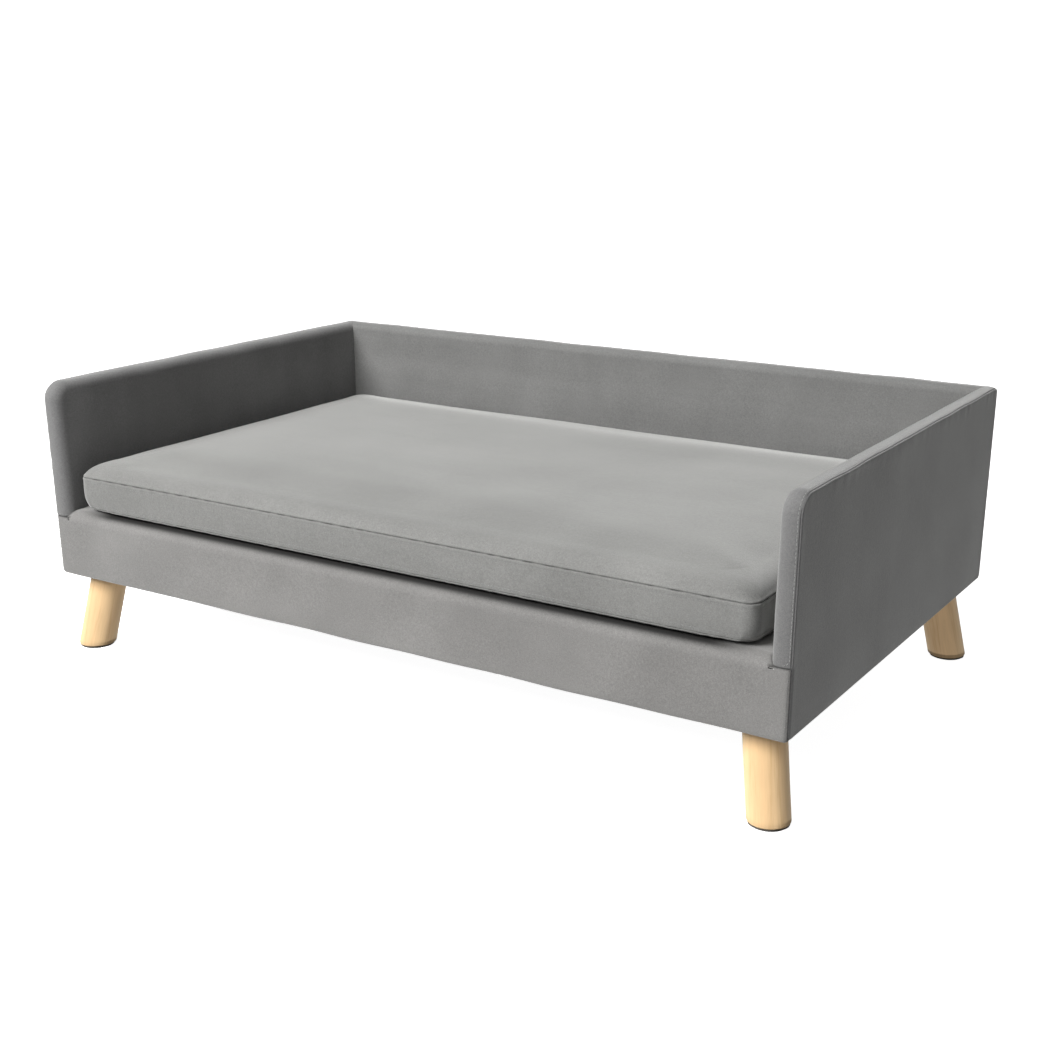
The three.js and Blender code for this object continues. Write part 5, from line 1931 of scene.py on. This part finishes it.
@dataclass
class Underside:
    """What shows from below: the dust cloth with its staples, and the screws of the leg plates."""

    cloth: bpy.types.Material
    steel: bpy.types.Material
    hem: float = 11 * MM
    staple_pitch: float = 52 * MM
    hole_pitch: float = 44 * MM
    plate_bottom: float = 97.3 * MM
    shank: tuple[tuple[float, float], ...] = (
        (4.3 * MM, 0.0), (2.1 * MM, 0.0), (2.1 * MM, 12.0 * MM), (0.3 * MM, 16.0 * MM)
    )
    seed: int = 91

    def __post_init__(self) -> None:
        """Take the place from the model."""
        self.low, self.high = corners("dust_cloth")

    def build(self) -> None:
        """Make the cloth, the staples and the screws."""
        self.build_cloth()
        self.build_staples()
        for corner in Corner:
            self.build_screws(corner)

    def build_cloth(self) -> None:
        """Make the cloth: slightly slack, pulled flat where it is stapled."""
        nx, ny = 200, 120
        x = np.linspace(self.low[0], self.high[0], nx + 1)
        y = np.linspace(self.low[1], self.high[1], ny + 1)
        gx, gy = np.meshgrid(x, y)
        edge = np.minimum(gx - self.low[0], self.high[0] - gx)
        edge = np.minimum(edge, np.minimum(gy - self.low[1], self.high[1] - gy))
        places = np.stack([gx, gy], -1)
        slack = (0.5 + 0.5 * np.tanh(ripple(places, self.seed, (0.12, 0.5)))) * ease(edge, 8 * MM, 60 * MM)
        creases = ripple(places, self.seed + 1, (0.02, 0.06)) * ease(edge, 4 * MM, 30 * MM)
        sag = 1.1 * MM * slack + 0.12 * MM * creases
        near_leg = np.zeros_like(gx)
        for corner in Corner:
            low, high = corners(f"leg_plate_{corner.name.lower()}")
            away = np.maximum(np.maximum(low[0] - gx, gx - high[0]), np.maximum(low[1] - gy, gy - high[1]))
            near_leg = np.maximum(near_leg, ease(away, 40 * MM, 4 * MM))
        z = self.low[2] + 0.45 * MM - sag * (1 - near_leg)
        thick = 0.35 * MM
        fold = 0.5 * thick * ease(edge, self.hem, self.hem - 1.2 * MM)
        upper = np.stack([gx, gy, z + thick], -1).reshape(-1, 3)
        lower = np.stack([gx, gy, z - fold], -1).reshape(-1, 3)
        count = (nx + 1) * (ny + 1)
        grid = np.arange(count).reshape(ny + 1, nx + 1)
        top = grid_faces(grid)
        rim = np.concatenate([grid[0, :-1], grid[:-1, -1], grid[-1, :0:-1], grid[:0:-1, 0]])
        after = np.roll(rim, -1)
        sides = np.stack([rim, rim + count, after + count, after], -1)
        faces = np.concatenate([top, top[:, ::-1] + count, sides[:, ::-1]])
        points = np.concatenate([upper, lower])
        cloth = piece("dust_cloth_sheet", points, faces, self.cloth, Body.FRAME, Slot.DUST_CLOTH)
        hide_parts("dust_cloth")

    def build_staples(self) -> None:
        """Make the staples round the cloth's hem, each a flat wire with both ends turned in."""
        parts, seat = [], self.low[2] + 0.32 * MM
        edge = 0.5 * self.hem
        rows = []
        along_x = np.arange(self.low[0] + 30 * MM, self.high[0] - 20 * MM, self.staple_pitch)
        along_y = np.arange(self.low[1] + 44 * MM, self.high[1] - 30 * MM, self.staple_pitch)
        for y in (self.low[1] + edge, self.high[1] - edge):
            rows += [(x, y, 0) for x in along_x]
        for x in (self.low[0] + edge, self.high[0] - edge):
            rows += [(x, y, 1) for y in along_y]
        dice = np.random.default_rng(self.seed)
        for x, y, along in rows:
            turn = dice.normal(0, 0.07) + (math.pi / 2 if along else 0)
            way = np.array([math.cos(turn), math.sin(turn), 0.0])
            across = np.array([-way[1], way[0], 0.0])
            path = [(-4.6, 2.4), (-4.6, 0.5), (-4.1, 0.0), (4.1, 0.0), (4.6, 0.5), (4.6, 2.4)]
            points = []
            for run, lift in path:
                centre = np.array([x, y, seat]) + way * run * MM + np.array([0, 0, (lift - 0.3) * MM])
                slope = 0.0 if abs(run) < 4.2 and lift == 0 else 1.0
                up = np.array([0.0, 0.0, 1.0]) * (1 - 0.6 * slope) + way * (-np.sign(run)) * 0.6 * slope
                for a, b in ((-1, -1), (1, -1), (1, 1), (-1, 1)):
                    points.append(centre + across * a * 0.45 * MM + up * b * 0.2 * MM)
            parts.append((np.array(points), capped_faces(len(path), 4)))
        piece("dust_cloth_staples", *joined(parts), self.steel, Body.FRAME, Slot.STEEL)

    def build_screws(self, corner: Corner) -> None:
        """Make the four pan-head screws of one leg plate, each with a cross in its head."""
        word = corner.name.lower()
        low, high = corners(f"leg_plate_{word}")
        middle = 0.5 * (low + high)
        parts = []
        rings, sides = np.array([0.0, 0.5, 1.0, 1.5, 2.1, 2.8, 3.4, 3.9, 4.2, 4.3]) * MM, 24
        angle = np.linspace(0, 2 * math.pi, sides + 1)[:-1]
        for sx in (-1, 1):
            for sy in (-1, 1):
                centre = middle[:2] + 0.5 * self.hole_pitch * np.array([sx, sy])
                twist = 0.4 * sx + 0.9 * sy
                points = []
                for r in rings:
                    drop = 2.0 * MM * math.sqrt(max(0.0, 1 - (r / (4.32 * MM)) ** 2)) ** 0.8
                    for a in angle + twist:
                        u, v = r * math.cos(a - twist), r * math.sin(a - twist)
                        in_cross = min(abs(u), abs(v)) < 0.55 * MM and r < 2.2 * MM
                        z = self.plate_bottom - drop + (1.1 * MM if in_cross else 0.0)
                        points.append((centre[0] + r * math.cos(a), centre[1] + r * math.sin(a), z))
                for r, rise in self.shank:
                    z = self.plate_bottom + rise
                    points += [(centre[0] + r * math.cos(a), centre[1] + r * math.sin(a), z) for a in angle]
                count = len(rings) + len(self.shank)
                faces = tube_faces(count, sides) + [[(count - 1) * sides + k for k in range(sides)]]
                spots, polygons, _ = welded(np.array(points), [f[::-1] for f in faces], {})
                parts.append((spots, polygons))
        piece(f"plate_screws_{word}", *joined(parts), self.steel, Body.FRAME, Slot.STEEL)


@dataclass
class Carcass:
    """The model's own hidden pieces, which keep their shape and get their finish."""

    finishes: dict[Slot, bpy.types.Material] = field(default_factory=dict)

    def build(self) -> None:
        """Give every node of the model that is left its finish."""
        for name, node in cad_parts.items():
            for place in node.material_slots:
                word = place.material.name.split(".")[0] if place.material else ""
                for slot, finish in self.finishes.items():
                    if slot.value == word:
                        place.material = finish
            log.info("%s: dressed", name)


# ---------------------------------------------------------------- studio


@dataclass
class Studio:
    """Floor, plain white beyond it, soft lights and the camera."""

    camera_place: RGB = (1.0076, -1.5455, 0.6986)
    camera_down: float = 19.20
    camera_turn: float = 32.28
    lens: float = 52.354
    shift: tuple[float, float] = (-0.01286, 0.0783)
    ambient: float = 0.20
    key: float = 172.0
    top: float = 17.0
    rear: float = 14.0
    bounce: float = 14.5

    def disc(self, name: str, rings: Sequence[tuple[float, float]], material: bpy.types.Material) -> None:
        """A round surface of revolution about the bed's middle.

        Args:
            name: its name.
            rings: the radius and height of each ring.
            material: its finish.
        """
        sides = 96
        points = [
            (r * math.cos(2 * math.pi * k / sides), r * math.sin(2 * math.pi * k / sides), h)
            for r, h in rings for k in range(sides)
        ]
        faces = tube_faces(len(rings), sides) + [list(range(sides))[::-1]]
        mesh = bpy.data.meshes.new(name)
        mesh.from_pydata(points, [], [polygon[::-1] for polygon in faces])
        mesh.polygons.foreach_set("use_smooth", [True] * len(mesh.polygons))
        mesh.materials.append(material)
        made = bpy.data.objects.new(name, mesh)
        bpy.context.scene.collection.objects.link(made)
        made.visible_diffuse = made.visible_glossy = made.visible_transmission = False
        made.visible_shadow = False

    def light(self, name: str, place: RGB, size: float, power: float, aim: RGB = (0.0, 0.0, 0.2)) -> None:
        """A soft square light.

        Args:
            name: its name.
            place: where it stands.
            size: its side, in metres.
            power: its power, in watts.
            aim: the point that it faces.
        """
        data = bpy.data.lights.new(name, "AREA")
        data.shape, data.size, data.energy = "SQUARE", size, power
        made = bpy.data.objects.new(name, data)
        made.location = place
        made.rotation_mode = "QUATERNION"
        made.rotation_quaternion = (Vector(aim) - Vector(place)).to_track_quat("-Z", "Y")
        made.visible_camera = False
        bpy.context.scene.collection.objects.link(made)

    def build(self) -> None:
        """Make the stage, the lights and the camera."""
        scene = bpy.context.scene
        level = [(radius, 0.0) for radius in (0.6, 1.2, 2.4, 5.0, 12.0, 30.0)]
        self.disc("floor", level, StudioFloor().material())
        turn = np.radians(np.linspace(0, 90, 13))[:-1]
        dome = [(30 * math.cos(a), 30 * math.sin(a) - 0.01) for a in turn]
        self.disc("backdrop", dome, StudioSky().material())
        self.light("key", (-0.85, -2.42, 2.2), 1.7, self.key)
        self.light("overhead", (-0.5, 0.3, 3.0), 1.6, self.top)
        self.light("rear", (-1.2, 2.6, 1.9), 1.6, self.rear)
        self.light("bounce", (0.0, 0.0, 0.004), 3.2, self.bounce, aim=(0.0, 0.0, 1.0))
        world = bpy.data.worlds.new("studio_air")
        world.use_nodes = True
        air = world.node_tree.nodes["Background"].inputs
        air["Color"].default_value = (1.0, 1.0, 1.0, 1.0)
        air["Strength"].default_value = self.ambient
        scene.world = world
        scene.view_settings.view_transform = "Standard"
        scene.view_settings.look = "None"
        data = bpy.data.cameras.new("camera")
        data.lens, data.sensor_width = self.lens, 36.0
        data.shift_x, data.shift_y = self.shift
        data.clip_start, data.clip_end = 0.05, 100.0
        camera = bpy.data.objects.new("camera", data)
        camera.location = self.camera_place
        camera.rotation_euler = (math.radians(90 - self.camera_down), 0.0, math.radians(self.camera_turn))
        scene.collection.objects.link(camera)
        scene.camera = camera


# ---------------------------------------------------------------- the bed


def main() -> None:
    """Build the bed piece by piece, then the studio."""
    logging.basicConfig(level=logging.INFO, format="%(name)s: %(message)s")
    thread = Thread(tone=(0.20, 0.20, 0.195)).material()
    wall_thread = Thread("pale_thread", tone=(0.31, 0.31, 0.30)).material()
    # One velvet in four tones: the arms', the back's and the seat's tones are darker than the base's as
    # painted shade, for how the light falls on each.
    arm_velvet = Velvet("arm_velvet", tone=(0.150, 0.149, 0.148), rub_stretch=(22.0, 22.0, 3.0)).material()
    back_velvet = Velvet("back_velvet", tone=(0.163, 0.163, 0.159), rub_stretch=(3.0, 3.0, 40.0)).material()
    base_velvet = Velvet("base_velvet", tone=(0.190, 0.186, 0.180), rub_stretch=(5.0, 5.0, 12.0)).material()
    seat_velvet = Velvet("seat_velvet", tone=(0.181, 0.181, 0.174), rub_stretch=(3.0, 26.0, 10.0)).material()
    steel = Metal("zinc_steel", (0.62, 0.62, 0.63)).material()
    foam = Foam("seat_foam", (0.78, 0.73, 0.55)).material()
    wadding = Foam("white_wadding", (0.80, 0.80, 0.78), 420.0).material()
    for side in Side:
        Arm(side, arm_velvet, wall_thread, wadding).build()
    Back(back_velvet, wall_thread, wadding).build()
    Base(base_velvet, thread, foam).build()
    Cushion(seat_velvet, thread, foam).build()
    Zip(
        Coil("zip_tape_weave", (0.09, 0.09, 0.092), 900.0).material(),
        Coil("zip_nylon", (0.13, 0.13, 0.132)).material(),
        Metal("zip_nickel", (0.55, 0.54, 0.52), 0.28).material(),
    ).build()
    wood, felt = LegWood().material(), Felt("foot_felt", (0.07, 0.06, 0.05)).material()
    for corner in Corner:
        Leg(corner, wood, felt).build()
    Underside(Felt("black_nonwoven", (0.022, 0.022, 0.024), 1400.0, 420.0).material(), steel).build()
    Carcass({
        Slot.PLYWOOD: Plywood().material(), Slot.WADDING: wadding,
        Slot.FOAM: foam, Slot.STEEL: steel,
    }).build()
    Studio().build()


if __name__ == "__main__":
    main()
